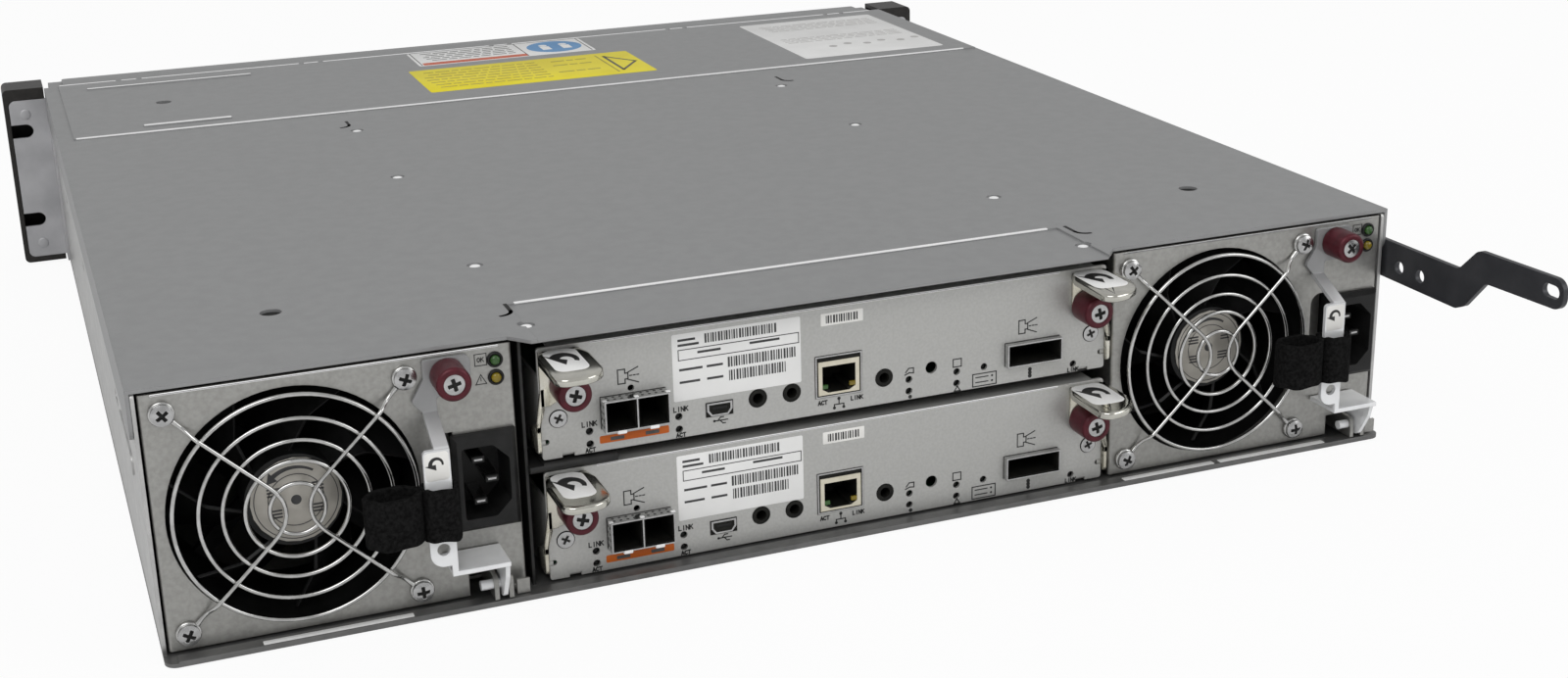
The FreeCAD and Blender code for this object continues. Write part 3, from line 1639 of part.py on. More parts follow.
def controller_board():
    # circuit board on the posts, with a few large components and its edge tongue at the midplane
    low = controller_bottom + board_z
    left = face_x(board_inset)
    right = face_x(controller_width - board_inset)
    front_end = behind(-controller_length)
    board = block(
        (left, right), (front_end + 2.0, behind(-controller_face - 0.3)), (low, low + board_thickness)
    )
    parts = []
    for distance, from_rear, width, length, height in (
        (58.0, 110.0, 42.0, 42.0, 14.0),
        (138.0, 120.0, 34.0, 34.0, 10.0),
        (100.0, 200.0, 30.0, 24.0, 5.0),
        (170.0, 210.0, 20.0, 44.0, 6.0),
        (40.0, 210.0, 22.0, 50.0, 8.0),
    ):
        x = face_x(distance)
        y = behind(-from_rear)
        parts.append(
            block(
                (x - width / 2, x + width / 2),
                (y - length / 2, y + length / 2),
                (board_top - 0.2, board_top + height),
            )
        )
    return joined([board] + parts)


def controller_connector():
    # plug on the board's front edge, in its midplane socket
    x = face_x(controller_width / 2)
    half = plug_tongue_half
    mouth = midplane_y + midplane_thickness
    tongue = block(
        (x - half, x + half),
        (mouth + plug_wall + plug_gap, behind(-controller_length + 12)),
        (controller_plug_z - plug_tongue_z, controller_plug_z + plug_tongue_z),
    )
    foot = block(
        (x - half, x + half),
        (behind(-controller_length + 2), behind(-controller_length + 12)),
        (board_top, controller_plug_z),
    )
    return joined([tongue, foot])


def shell_box(left, width, low, height, proud, depth, wall):
    # thin metal port shell, open at the rear
    x_pair = (face_x(left), face_x(left + width))
    z_low = controller_bottom + low
    outer = block(x_pair, (behind(-depth), behind(proud)), (z_low, z_low + height))
    inner = block(
        (x_pair[0] - wall, x_pair[1] + wall),
        (behind(-depth + wall), behind(proud + 1)),
        (z_low + wall, z_low + height - wall),
    )
    return outer.cut(inner)


def port_legs(left, width, low, from_face):
    # solder legs between a port's shell and the board
    legs = []
    for distance in (left + 1.0, left + width - 1.0):
        for y in from_face:
            legs.append(
                block(
                    (face_x(distance) - 0.5, face_x(distance) + 0.5),
                    (behind(-y) - 0.8, behind(-y) + 0.8),
                    (board_top, controller_bottom + low + 0.3),
                )
            )
    return legs


def port_shells():
    # metal shells of the cable cage with its divider, the network socket, the small and the expansion port
    cage = shell_box(
        cable_cage_left,
        cable_cage_width,
        cable_cage_low,
        cable_cage_height,
        cable_cage_proud,
        cable_cage_depth,
        cage_sheet,
    )
    middle = face_x(cable_cage_left + cable_cage_width / 2)
    divider = block(
        (middle - cage_sheet / 2, middle + cage_sheet / 2),
        (behind(-cable_cage_depth + 0.2), behind(cable_cage_proud)),
        (
            controller_bottom + cable_cage_low + 0.2,
            controller_bottom + cable_cage_low + cable_cage_height - 0.2,
        ),
    )
    cage = joined(
        [cage, divider] + port_legs(cable_cage_left, cable_cage_width, cable_cage_low, (6.0, 30.0))
    )
    small = shell_box(usb_left, usb_width, usb_low, usb_height, 0.2, usb_depth, 0.4)
    network = shell_box(
        network_left, network_width, network_low, network_height, 0.3, network_depth, cage_sheet
    )
    expansion = shell_box(
        expansion_left,
        expansion_width,
        expansion_low,
        expansion_height,
        expansion_proud,
        expansion_depth,
        cage_sheet,
    )
    expansion = joined([expansion] + port_legs(expansion_left, expansion_width, expansion_low, (4.0, 13.0)))
    return [cage, small, network, expansion]


def network_insert():
    # moulded insert of the network socket, with its plug cavity
    wall = cage_sheet + 0.05
    x_left = face_x(network_left + wall)
    x_right = face_x(network_left + network_width - wall)
    low = controller_bottom + network_low + wall
    high = controller_bottom + network_low + network_height - wall
    outer = block((x_left, x_right), (behind(-network_depth + wall), behind(0.0)), (low, high))
    cavity = block(
        (x_left - network_wall, x_right + network_wall),
        (behind(-14.0), behind(1)),
        (low + 2.0, high - network_wall),
    )
    key = block(
        ((x_left + x_right) / 2 - 3.2, (x_left + x_right) / 2 + 3.2),
        (behind(-14.0), behind(1)),
        (low + 0.8, low + 3.0),
    )
    return outer.cut([cavity, key])


def port_tongue(left, width, low, height, depth, share, reach):
    # moulded tongue on the back wall of a metal shell
    x_mid = face_x(left + width / 2)
    z_mid = controller_bottom + low + height / 2
    half = width * share / 2
    back = behind(-depth + cage_sheet + 0.05)
    base = block(
        (x_mid - width / 2 + cage_sheet + 0.1, x_mid + width / 2 - cage_sheet - 0.1),
        (back, back + 2.0),
        (z_mid - height / 2 + cage_sheet + 0.1, z_mid + height / 2 - cage_sheet - 0.1),
    )
    blade = block(
        (x_mid - half, x_mid + half), (back + 1.0, back + 2.0 + reach), (z_mid - 0.7, z_mid + 0.7)
    )
    return joined([base, blade])


def port_inserts():
    # moulded parts of the ports, and the round jacks
    inserts = [network_insert()]
    half_cage = cable_cage_width / 2
    for side in (0, 1):
        inserts.append(
            port_tongue(
                cable_cage_left + side * half_cage + (0.25 if side else 0.0),
                half_cage - 0.25,
                cable_cage_low,
                cable_cage_height,
                cable_cage_depth,
                0.6,
                8.0,
            )
        )
    inserts.append(
        port_tongue(
            expansion_left, expansion_width, expansion_low, expansion_height, expansion_depth, 0.7, 6.0
        )
    )
    for distance in jack_across:
        x = face_x(distance)
        z = controller_bottom + jack_z
        barrel = rod_y(x, z, behind(-jack_length), behind(0.1), jack_r)
        foot = block(
            (x - jack_r, x + jack_r), (behind(-jack_length), behind(-controller_face - 0.6)), (board_top, z)
        )
        bore = rod_y(x, z, behind(-jack_length + 2), behind(1), jack_bore_r)
        inserts.append(joined([barrel, foot]).cut(bore))
    return inserts


def light_pipes():
    # short light pipes just inside the indicator holes, on feet that reach the board
    pipes = []
    for distance, z in light_holes:
        x = face_x(distance)
        spot = controller_bottom + z
        if z > board_z + board_thickness:
            pipe = block(
                (x - 0.8, x + 0.8), (behind(-6.0), behind(-controller_face - 0.4)), (board_top, spot + 0.8)
            )
        else:
            pipe = block(
                (x - 0.8, x + 0.8),
                (behind(-6.0), behind(-controller_face - 0.4)),
                (spot - 0.8, controller_bottom + board_z),
            )
        pipes.append(pipe)
    return pipes


def controller_lever(side):
    # ejector lever: screw plate on the face, jogged arm down the side, and a finger tab on top
    low = controller_bottom
    near = behind(lever_gap)
    t = lever_sheet
    far = near + t
    plate = slab(
        "y",
        [
            (lever_side_x(side, 0.2), low + lever_jog_top),
            (lever_side_x(side, 3.0), low + lever_jog_top),
            (lever_side_x(side, lever_thumb_in), low + lever_thumb_z - 3.5),
            (lever_side_x(side, lever_plate_width), low + lever_thumb_z),
            (lever_side_x(side, lever_plate_width), low + lever_plate_top - t),
            (lever_side_x(side, 0.2), low + lever_plate_top - t),
        ],
        [0, 1.0, 2.0, 2.0, 0, 0],
        near,
        far,
    )
    arm_in = lever_side_x(side, -lever_arm_out)
    arm_out = lever_side_x(side, -lever_arm_out - t)
    jog = slab(
        "y",
        [
            (lever_side_x(side, 0.2), low + lever_jog_top + 6.0),
            (arm_out, low + lever_jog_low + 1.0),
            (arm_out, low + lever_jog_low - 2.0),
            (arm_in, low + lever_jog_low - 2.0),
            (arm_in, low + lever_jog_low),
            (lever_side_x(side, 1.4), low + lever_jog_top - 1.0),
            (lever_side_x(side, 1.4), low + lever_jog_top + 6.0),
        ],
        0,
        near,
        far,
    )
    arm = slab(
        "x",
        [
            (far, low + lever_arm_low),
            (far, low + lever_jog_low),
            (behind(-2.0), low + lever_jog_low),
            (behind(-lever_arm_depth), low + lever_pivot_z + 3.0),
            (behind(-lever_arm_depth), low + lever_arm_low),
        ],
        [1.5, 0, 2.0, 2.0, 2.0],
        min(arm_in, arm_out),
        max(arm_in, arm_out),
    )
    tab_out = lever_side_x(side, -1.3)
    tab_in = lever_side_x(side, lever_tab_width - 1.3)
    tab_corners = [
        (lever_side_x(side, 0.2), near),
        (lever_side_x(side, lever_plate_width), near),
        (tab_in, near + 7.0),
        (tab_in, behind(lever_tab_reach)),
        (tab_out, behind(lever_tab_reach)),
        (tab_out, near + 7.0),
    ]
    radii = [0, 0, 3.0, lever_tab_inner_r, lever_tab_outer_r, 3.0]
    top = low + lever_plate_top
    tab = slab("z", tab_corners, radii, top - t, top)
    rim_outer = slab("z", tab_corners, radii, top - lever_tab_rim, top)
    rim_cut_corners = [
        (lever_side_x(side, 0.2 + t), near - 1),
        (lever_side_x(side, lever_plate_width - t), near - 1),
        (lever_side_x(side, lever_tab_width - 1.3 - t), near + 7.0),
        (lever_side_x(side, lever_tab_width - 1.3 - t), behind(lever_tab_reach - t)),
        (lever_side_x(side, -1.3 + t), behind(lever_tab_reach - t)),
        (lever_side_x(side, -1.3 + t), near + 7.0),
    ]
    rim_cut = slab(
        "z",
        rim_cut_corners,
        [0, 0, 2.0, lever_tab_inner_r - t, lever_tab_outer_r - t, 2.0],
        top - lever_tab_rim - 1,
        top + 1,
    )
    front_cut = block(
        (lever_side_x(side, -4.0), lever_side_x(side, lever_tab_width + 4)),
        (near - 2, near + 9.0),
        (top - lever_tab_rim - 1, top - t),
    )
    rim = rim_outer.cut([rim_cut, front_cut])
    lever = joined([plate, jog, arm, tab, rim])
    holes = [
        rod_y(
            lever_side_x(side, lever_thumb_in),
            low + lever_thumb_z,
            near - 1,
            far + 1,
            thumb_stub_r + thumb_hole_gap,
        ),
        rod_x(
            behind(-lever_pivot_in),
            low + lever_pivot_z,
            lever_side_x(side, 0.0),
            lever_side_x(side, -6.0),
            lever_pivot_r + running_gap,
        ),
    ]
    return lever.cut(holes)


# ---------------------------------------------------------------- output


def write_chassis():
    write("chassis_tray", chassis_tray())
    write("top_cover", top_cover())
    write("drive_cage", drive_cage())
    write("midplane_board", midplane_board())
    write("midplane_connectors", midplane_connectors())
    write("rack_ears", [rack_ear(1), rack_ear(-1)])
    write(
        "bay_walls",
        [bay_wall(left_wall_across, left_wall_setback), bay_wall(right_wall_across, right_wall_setback)],
    )
    write("controller_shelf", controller_shelf())
    write("rear_arm", rear_arm())
    write("left_ear_cap", ear_cap(1))
    write("right_ear_cap", ear_cap(-1))


def write_drives():
    blanks = [drive_blank(index) for index in range(bay_count) if index not in fitted_bays]
    write("drive_blanks", blanks)
    for number, index in enumerate(fitted_bays, 1):
        write("drive_%d_carrier" % number, drive_carrier(index))
        write("drive_%d_lever" % number, eject_lever(index))


def write_supplies():
    thumb_seat = behind(handle_gap + handle_sheet + 0.05)
    pieces = {
        "case": psu_case(),
        "fan_frame": fan_frame(),
        "fan_rotor": fan_rotor(),
        "fan_guard": fan_guard(),
        "guard_screws": guard_screws(),
        "inlet": inlet(),
        "lights": psu_lights(),
        "connector": psu_connector(),
        "handle": psu_handle(),
        "thumbscrew": thumbscrew(supply_x(psu_thumb_across), psu_bottom + psu_thumb_z, thumb_seat),
        "cable_strap": cable_strap(),
    }
    for supply in range(2):
        for name, shape in pieces.items():
            solids = shape if isinstance(shape, list) else [shape]
            placed = [moved(solid, x=-supply * psu_pitch) for solid in solids]
            write("psu_%d_%s" % (supply + 1, name), placed if len(placed) > 1 else placed[0])


def write_controllers():
    thumb_seat = behind(lever_gap + lever_sheet + 0.05)
    thumb_z = controller_bottom + lever_thumb_z
    pieces = {
        "tray": controller_tray(),
        "board": controller_board(),
        "connector": controller_connector(),
        "port_shells": port_shells(),
        "port_inserts": port_inserts(),
        "light_pipes": light_pipes(),
        "left_lever": controller_lever(0),
        "right_lever": controller_lever(1),
        "left_thumbscrew": thumbscrew(lever_side_x(0, lever_thumb_in), thumb_z, thumb_seat),
        "right_thumbscrew": thumbscrew(lever_side_x(1, lever_thumb_in), thumb_z, thumb_seat),
    }
    for level, place in enumerate(("lower", "upper")):
        for name, shape in pieces.items():
            solids = shape if isinstance(shape, list) else [shape]
            placed = [moved(solid, z=level * controller_pitch) for solid in solids]
            write("%s_controller_%s" % (place, name), placed if len(placed) > 1 else placed[0])


os.makedirs("parts", exist_ok=True)
write_chassis()
write_drives()
write_supplies()
write_controllers()
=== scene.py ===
import math

import bmesh
import bpy
import numpy as np
from mathutils import Euler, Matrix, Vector
from mathutils.bvhtree import BVHTree


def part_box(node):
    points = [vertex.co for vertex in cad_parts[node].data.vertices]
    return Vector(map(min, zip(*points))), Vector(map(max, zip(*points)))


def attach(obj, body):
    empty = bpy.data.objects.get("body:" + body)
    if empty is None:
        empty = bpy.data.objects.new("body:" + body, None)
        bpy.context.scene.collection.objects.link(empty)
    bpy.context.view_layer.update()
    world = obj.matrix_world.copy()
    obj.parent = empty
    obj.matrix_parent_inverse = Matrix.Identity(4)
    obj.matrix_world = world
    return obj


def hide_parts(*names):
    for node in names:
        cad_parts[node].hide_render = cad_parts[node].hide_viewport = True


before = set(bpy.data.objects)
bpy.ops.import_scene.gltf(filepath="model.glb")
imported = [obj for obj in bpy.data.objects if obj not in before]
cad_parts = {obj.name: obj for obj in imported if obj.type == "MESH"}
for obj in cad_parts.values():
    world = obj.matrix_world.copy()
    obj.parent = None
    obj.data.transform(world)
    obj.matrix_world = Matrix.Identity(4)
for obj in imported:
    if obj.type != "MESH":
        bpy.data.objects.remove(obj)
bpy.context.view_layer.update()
mm = 0.001


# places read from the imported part, in millimetres

def low(node):
    # least x, y and z of a node
    return np.array(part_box(node)[0]) / mm


def high(node):
    # greatest x, y and z of a node
    return np.array(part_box(node)[1]) / mm


def middle(node):
    # halfway between the two
    return (low(node) + high(node)) / 2


# surfaces as arrays of points, in millimetres

def gridSurface(points, looped=False):
    # quad (i, j) joins point (i, j) to its neighbours in the next ring and the next place round it;
    # a looped grid's last ring meets its first, and any other is closed at both ends with one face
    rings, count = points.shape[:2]
    i, j = np.meshgrid(np.arange(rings if looped else rings - 1), np.arange(count), indexing="ij")
    k, l = (i + 1) % rings, (j + 1) % count
    quads = np.stack([i * count + j, k * count + j, k * count + l, i * count + l], axis=-1)
    faces = quads.reshape(-1, 4).tolist()
    if not looped:
        faces += [list(range(count)), list(range((rings - 1) * count, rings * count))[::-1]]
    return points.reshape(-1, 3), faces


def joined(surfaces):
    # several surfaces in one list of points and one of faces
    points, faces, count = [], [], 0
    for p, f in surfaces:
        points.append(p)
        faces += [[n + count for n in face] for face in f]
        count += len(p)
    return np.vstack(points), faces


def turnedSurface(centre, profile, steps, ring=False):
    # point(t, a) = centre + (radius(t) cos a, along(t), radius(t) sin a): a profile turned about a line along
    # Y; a ring's profile comes back to its start, any other is closed by a disc at both ends
    radius, along = np.array(profile, float).T
    angle = np.linspace(0, 2 * np.pi, steps, endpoint=False)
    rows = [np.outer(radius, np.cos(angle)), np.outer(along, np.ones(steps)), np.outer(radius, np.sin(angle))]
    return gridSurface(np.stack(rows, -1) + np.array(centre), ring)


def wireSurface(path, radius, sides, closed=False):
    # point(s, a) = path(s) + radius (cos a side(s) + sin a up(s)), with side and up square to the path
    path = np.array(path, float)
    ahead = np.roll(path, -1, 0) - np.roll(path, 1, 0) if closed else np.gradient(path, axis=0)
    ahead /= np.linalg.norm(ahead, axis=1)[:, None]
    side = np.cross(ahead, [0.0, 1.0, 0.13])    # tilted a little, so that no wire runs along it
    side /= np.linalg.norm(side, axis=1)[:, None]
    up = np.cross(side, ahead)
    angle = np.linspace(0, 2 * np.pi, sides, endpoint=False)
    radius = np.broadcast_to(radius, len(path))[:, None, None]
    ring = np.cos(angle)[None, :, None] * side[:, None] + np.sin(angle)[None, :, None] * up[:, None]
    return gridSurface(path[:, None] + radius * ring, closed)


def smoothPath(points, steps, closed=False):
    # Catmull-Rom curve through the points: each span is a cubic of its two ends and their neighbours
    points = np.array(points, float)
    if closed:
        ringed = np.vstack([points[-1:], points, points[:2]])
    else:
        ringed = np.vstack([2 * points[0] - points[1], points, 2 * points[-1] - points[-2]])
    t = np.linspace(0, 1, steps, endpoint=False)[:, None]
    spans = []
    for a, b, c, d in zip(ringed, ringed[1:], ringed[2:], ringed[3:]):
        square = (2 * a - 5 * b + 4 * c - d) * t ** 2
        spans.append(0.5 * (2 * b + (c - a) * t + square + (3 * b - a - 3 * c + d) * t ** 3))
    return np.vstack(spans if closed else spans + [points[-1:]])


def roundedOutline(width, height, corner, perCorner=6):
    # corner centre (sx (w/2 - r), sy (h/2 - r)) plus r (cos a, sin a), a quarter turn at each corner
    corner = max(min(corner, width / 2 - 1e-4, height / 2 - 1e-4), 1e-4)
    outline = []
    for turn, (sx, sy) in enumerate(((1, 1), (-1, 1), (-1, -1), (1, -1))):
        a = np.linspace(0, np.pi / 2, perCorner) + turn * np.pi / 2
        x = sx * (width / 2 - corner) + corner * np.cos(a)
        y = sy * (height / 2 - corner) + corner * np.sin(a)
        outline.append(np.stack([x, y], -1))
    return np.vstack(outline)


def arcPoints(x, y, radius, angle):
    # (x + radius cos angle, y + radius sin angle)
    return np.stack([x + radius * np.cos(angle), y + radius * np.sin(angle)], -1).reshape(-1, 2)


def discOutline(x, y, radius, steps=20):
    # a full turn of points round (x, y)
    return arcPoints(x, y, radius, np.linspace(0, 2 * np.pi, steps, endpoint=False))


def boxOutline(left, bottom, right, top):
    # the four corners, anticlockwise
    return [(left, bottom), (right, bottom), (right, top), (left, top)]


def turnArrowOutline(x, y, radius, width, start, end, head, steps=18):
    # an arc's two edges, radius plus and minus half a width that grows towards the tip, closed by a triangle
    angle = np.radians(np.linspace(start, end, steps))
    half = width / 2 * np.linspace(0.45, 1.0, steps)
    last, spread = angle[-1], head * 0.62
    tip = arcPoints(x, y, radius, last + np.sign(end - start) * head / radius)
    return np.vstack([arcPoints(x, y, radius - half, angle), arcPoints(x, y, radius - spread, last), tip,
                      arcPoints(x, y, radius + spread, last), arcPoints(x, y, radius + half, angle)[::-1]])


def roundedPolygon(corners, radii, perCorner=7):
    # each corner becomes an arc of its radius, which meets both sides at radius / tan(half the angle)
    corners = np.array(corners, float)
    radii = np.broadcast_to(np.maximum(np.array(radii, float), 0.02), len(corners))
    outline = []
    for before, here, after, radius in zip(np.roll(corners, 1, 0), corners, np.roll(corners, -1, 0), radii):
        a = (before - here) / np.linalg.norm(before - here)
        b = (after - here) / np.linalg.norm(after - here)
        half = math.acos(float(np.clip(a @ b, -1, 1))) / 2
        centre = here + (a + b) / np.linalg.norm(a + b) * radius / math.sin(half)
        start = here + a * radius / math.tan(half) - centre
        end = here + b * radius / math.tan(half) - centre
        turn = math.atan2(start[0] * end[1] - start[1] * end[0], start @ end)
        for t in np.linspace(0, turn, perCorner):
            x = start[0] * math.cos(t) - start[1] * math.sin(t)
            y = start[0] * math.sin(t) + start[1] * math.cos(t)
            outline.append(centre + (x, y))
    return np.array(outline)


def strokeOutlines(lines, width):
    # each span of a line becomes a slim rectangle: its two ends, moved half the width to either side
    outlines = []
    for line in lines:
        line = np.array(line, float)
        for start, end in zip(line[:-1], line[1:]):
            along = (end - start) / np.linalg.norm(end - start)
            side = np.array([-along[1], along[0]]) * width / 2
            cap = along * width / 2
            outlines.append([start - side - cap, end - side + cap, end + side + cap, start + side - cap])
    return outlines


# directions across and up a sheet, as it is read
onRear = ((-1, 0, 0), (0, 0, 1))     # on the rear face, from behind
onTop = ((-1, 0, 0), (0, -1, 0))     # on the cover or a lever tab, from behind
onSide = ((0, 1, 0), (0, 0, 1))      # on a side that faces +X
onPlan = ((1, 0, 0), (0, 1, 0))      # on the cover, along X and Y


def stackedRings(origin, facing, rings):
    # point(a, k) = origin + x(a) right + y(a) up + rise(k) out, for each outline k and its rise
    right, up = np.array(facing, float)
    out = np.cross(right, up)
    rows = []
    for outline, rise in rings:
        flat = np.array(outline, float)
        rows.append(np.array(origin, float) + flat[:, :1] * right + flat[:, 1:] * up + rise * out)
    return np.array(rows)


def printSurface(origin, facing, outline, thick):
    # a flat outline at height 0 and again at height thick, closed at both ends
    return gridSurface(stackedRings(origin, facing, [(outline, 0.0), (outline, thick)]))


def printAll(origin, facing, outlines, thick):
    # one print surface for each outline
    return [printSurface(origin, facing, outline, thick) for outline in outlines]


def frameSurface(origin, facing, outer, inner, thick):
    # a flat frame: four edge lines, the inner and outer outlines at height 0 and thick, joined in a loop
    rings = [(inner, 0.0), (inner, thick), (outer, thick), (outer, 0.0)]
    return gridSurface(stackedRings(origin, facing, rings), looped=True)


def plateSurface(centre, facing, width, height, corner, layers):
    # a rounded outline, drawn in by inset(k) at rise(k) for each layer
    rings = []
    for inset, rise in layers:
        outline = roundedOutline(width - 2 * inset, height - 2 * inset, max(corner - inset, 0.01))
        rings.append((outline, rise))
    return gridSurface(stackedRings(centre, facing, rings))


def labelLayers(thick):
    # a sheet's height, with its upper edge drawn in
    return [(0.0, 0.0), (0.0, thick * 0.6), (0.06, thick)]


def labelPlate(origin, facing, box, corner, thick):
    # a thin plate over the box left, bottom, right, top
    left, bottom, rightEdge, top = box
    right, up = np.array(facing, float)
    centre = np.array(origin) + right * (left + rightEdge) / 2 + up * (bottom + top) / 2
    return plateSurface(centre, facing, rightEdge - left, top - bottom, corner, labelLayers(thick))


def slabSurface(origin, facing, outline, layers):
    # any outline, drawn in along its own normal by inset(k) at rise(k) for each layer
    ahead = np.roll(outline, -1, 0) - np.roll(outline, 1, 0)
    ahead /= np.linalg.norm(ahead, axis=1)[:, None]
    x, y = outline.T
    area = np.sum(x * np.roll(y, -1) - y * np.roll(x, -1))
    inward = np.stack([-ahead[:, 1], ahead[:, 0]], -1) * np.sign(area)
    rings = [(outline + inset * inward, rise) for inset, rise in layers]
    return gridSurface(stackedRings(origin, facing, rings))


def crossHeadSurface(centre, radius, dome, bury, cross, rings=26, steps=72):
    # rise(x, z) = dome (1 - (r/R)^2) - deep max(bar(x, z), bar(z, x)); a bar is 1 inside its width and length
    # and falls to 0 over a narrow slope; past the rim the surface turns down to its seat
    wide, long, deep, turn = cross
    r = np.linspace(0.02, 1, rings)[:, None] * radius
    angle = np.linspace(0, 2 * np.pi, steps, endpoint=False)[None, :]
    x, z = r * np.cos(angle), r * np.sin(angle)
    u = x * math.cos(turn) + z * math.sin(turn)
    v = z * math.cos(turn) - x * math.sin(turn)

    def bar(p, q):
        # 1 inside a bar, falling to 0 over its soft edges
        across = np.clip((wide / 2 - abs(p)) / 0.16 + 0.5, 0, 1)
        return across * np.clip((long / 2 - abs(q)) / 0.3 + 0.5, 0, 1)

    rise = dome * (1 - (r / radius) ** 2) - deep * np.maximum(bar(u, v), bar(v, u))
    top = np.stack([x, rise, z], -1)
    skirt = [top[-1] + (0, -0.12 * radius, 0) + 0.02 * np.sign(top[-1]) * (1, 0, 1), top[-1] + (0, -bury, 0)]
    return gridSurface(np.concatenate([top, np.array(skirt)]) + np.array(centre))


def crossShadeSurface(centre, cross, sink):
    # painted shade on the floor of a cross recess: two crossed dark bars, each a slim box from sink below the
    # head's centre
    wide, long, _, turn = cross
    facing = ((-math.cos(turn), 0, -math.sin(turn)), (-math.sin(turn), 0, math.cos(turn)))
    origin = np.array(centre, float) - (0, sink, 0)
    flat = boxOutline(-long / 2, -wide / 2, long / 2, wide / 2)
    tall = boxOutline(-wide / 2, -long / 2, wide / 2, long / 2)
    return joined([printSurface(origin, facing, flat, 0.05), printSurface(origin, facing, tall, 0.06)])


def crossScrew(centre, look, turn):
    # a screw's domed head, and the painted shade on the floor of its recess, which is turned by that angle
    cross = (*look["cross"], turn)
    head = crossHeadSurface(centre, look["headRadius"], look["dome"], look["bury"], cross)
    return head, crossShadeSurface(centre, cross, look["floorSink"])


def bandSurface(path, height, thick, middleZ):
    # a flat band stood on edge: its rounded section is carried along a closed plan path, square to it at each
    # point, and rises and falls by two small waves
    path = np.array(path, float)
    ahead = np.roll(path, -1, 0) - np.roll(path, 1, 0)
    ahead /= np.linalg.norm(ahead, axis=1)[:, None]
    side = np.stack([ahead[:, 1], -ahead[:, 0]], -1)
    section = roundedOutline(thick, height, 0.5, 5)
    along = np.linspace(0, 2 * np.pi, len(path), endpoint=False)[:, None]
    sag = 0.25 * np.sin(3 * along + 0.7) + 0.15 * np.sin(7 * along)
    x = path[:, :1] + side[:, :1] * section[None, :, 0]
    y = path[:, 1:] + side[:, 1:] * section[None, :, 0]
    z = middleZ + section[None, :, 1] * (1 + 0.012 * np.sin(5 * along)) + sag
    return gridSurface(np.stack([x, y, z], -1), looped=True)


def makePiece(name, surface, finish, body, replaced=(), sharp=35):
    # the points and faces become a mesh with its place in it, riding on its body, with the finish as its
    # material; the replaced nodes are hidden
    points, faces = surface
    mesh = bpy.data.meshes.new(name)
    mesh.from_pydata((points * mm).tolist(), [], faces)
    work = bmesh.new()
    work.from_mesh(mesh)
    bmesh.ops.remove_doubles(work, verts=work.verts, dist=1e-7)
    bmesh.ops.recalc_face_normals(work, faces=work.faces)
    work.to_mesh(mesh)
    work.free()
    mesh.shade_smooth()
    mesh.set_sharp_from_angle(angle=math.radians(sharp))
    mesh.materials.append(finishes[finish])
    piece = bpy.data.objects.new(name, mesh)
    bpy.context.scene.collection.objects.link(piece)
    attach(piece, body)
    if replaced:
        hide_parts(*replaced)
    return piece


# finishes

def addNode(tree, kind, values=()):
    # a new shader node with the given inputs set
    node = tree.nodes.new("ShaderNode" + kind)
    for name, value in dict(values).items():
        node.inputs[name].default_value = value
    return node


def linkAll(tree, wires):
    # each wire is a node, its output, the next node and its input
    for source, output, target, socket in wires:
        tree.links.new(source.outputs[output], target.inputs[socket])


def makeFinish(name, look):
    # two tones mottled by noise, fine grain or brushed streaks in the roughness and bump, softened edges, and
    # on some finishes painted shade that changes with height
    material = bpy.data.materials.new(name)
    material.use_nodes = True
    tree = material.node_tree
    shader = tree.nodes["Principled BSDF"]
    rough, spread = look["roughness"], look["roughnessSpread"]
    shader.inputs["Metallic"].default_value = look["metallic"]
    shader.inputs["Roughness"].default_value = rough
    shader.inputs["Specular IOR Level"].default_value = look["specular"]
    place = addNode(tree, "TexCoord")
    stretch = addNode(tree, "Mapping", {"Scale": look["stretch"]})
    mottle = addNode(tree, "TexNoise", {"Scale": look["mottleScale"], "Detail": 5})
    tones = addNode(tree, "ValToRGB")
    for element, position, tone in zip(tones.color_ramp.elements, (0.35, 0.65), ("dark", "light")):
        element.position = position
        element.color = (*look[tone], 1)
    wires = [(place, "Object", stretch, "Vector"), (place, "Object", mottle, "Vector"),
             (mottle, "Fac", tones, "Fac")]
    if "paintedShadeTone" in look:
        # painted shade: the tones are scaled by a factor past the first height of the span, unchanged past
        # the second
        first, second = np.array(look["paintedShadeSpan"]) * mm
        parts = addNode(tree, "SeparateXYZ")
        fade = addNode(tree, "MapRange", {"From Min": first, "From Max": second, "To Min": look["paintedShadeTone"]})
        shade = addNode(tree, "VectorMath")
        shade.operation = "SCALE"
        wires += [(place, "Object", parts, 0), (parts, "Z", fade, "Value"), (tones, "Color", shade, 0),
                  (fade, "Result", shade, "Scale"), (shade, "Vector", shader, "Base Color")]
    else:
        wires.append((tones, "Color", shader, "Base Color"))
    grain = addNode(tree, "TexNoise", {"Scale": look["grainScale"], "Detail": 3})
    gloss = addNode(tree, "MapRange", {"To Min": rough - spread, "To Max": rough + spread})
    bump = addNode(tree, "Bump", {"Strength": look["bump"], "Distance": look["bumpDepth"] * mm})
    wires += [(stretch, "Vector", grain, "Vector"), (grain, "Fac", gloss, "Value"),
              (gloss, "Result", shader, "Roughness"), (grain, "Fac", bump, "Height"),
              (bump, "Normal", shader, "Normal")]
    if look["edge"]:
        soften = addNode(tree, "Bevel", {"Radius": look["edge"] * mm})
        soften.samples = 4
        wires.append((soften, "Normal", bump, "Normal"))
    linkAll(tree, wires)
    return material


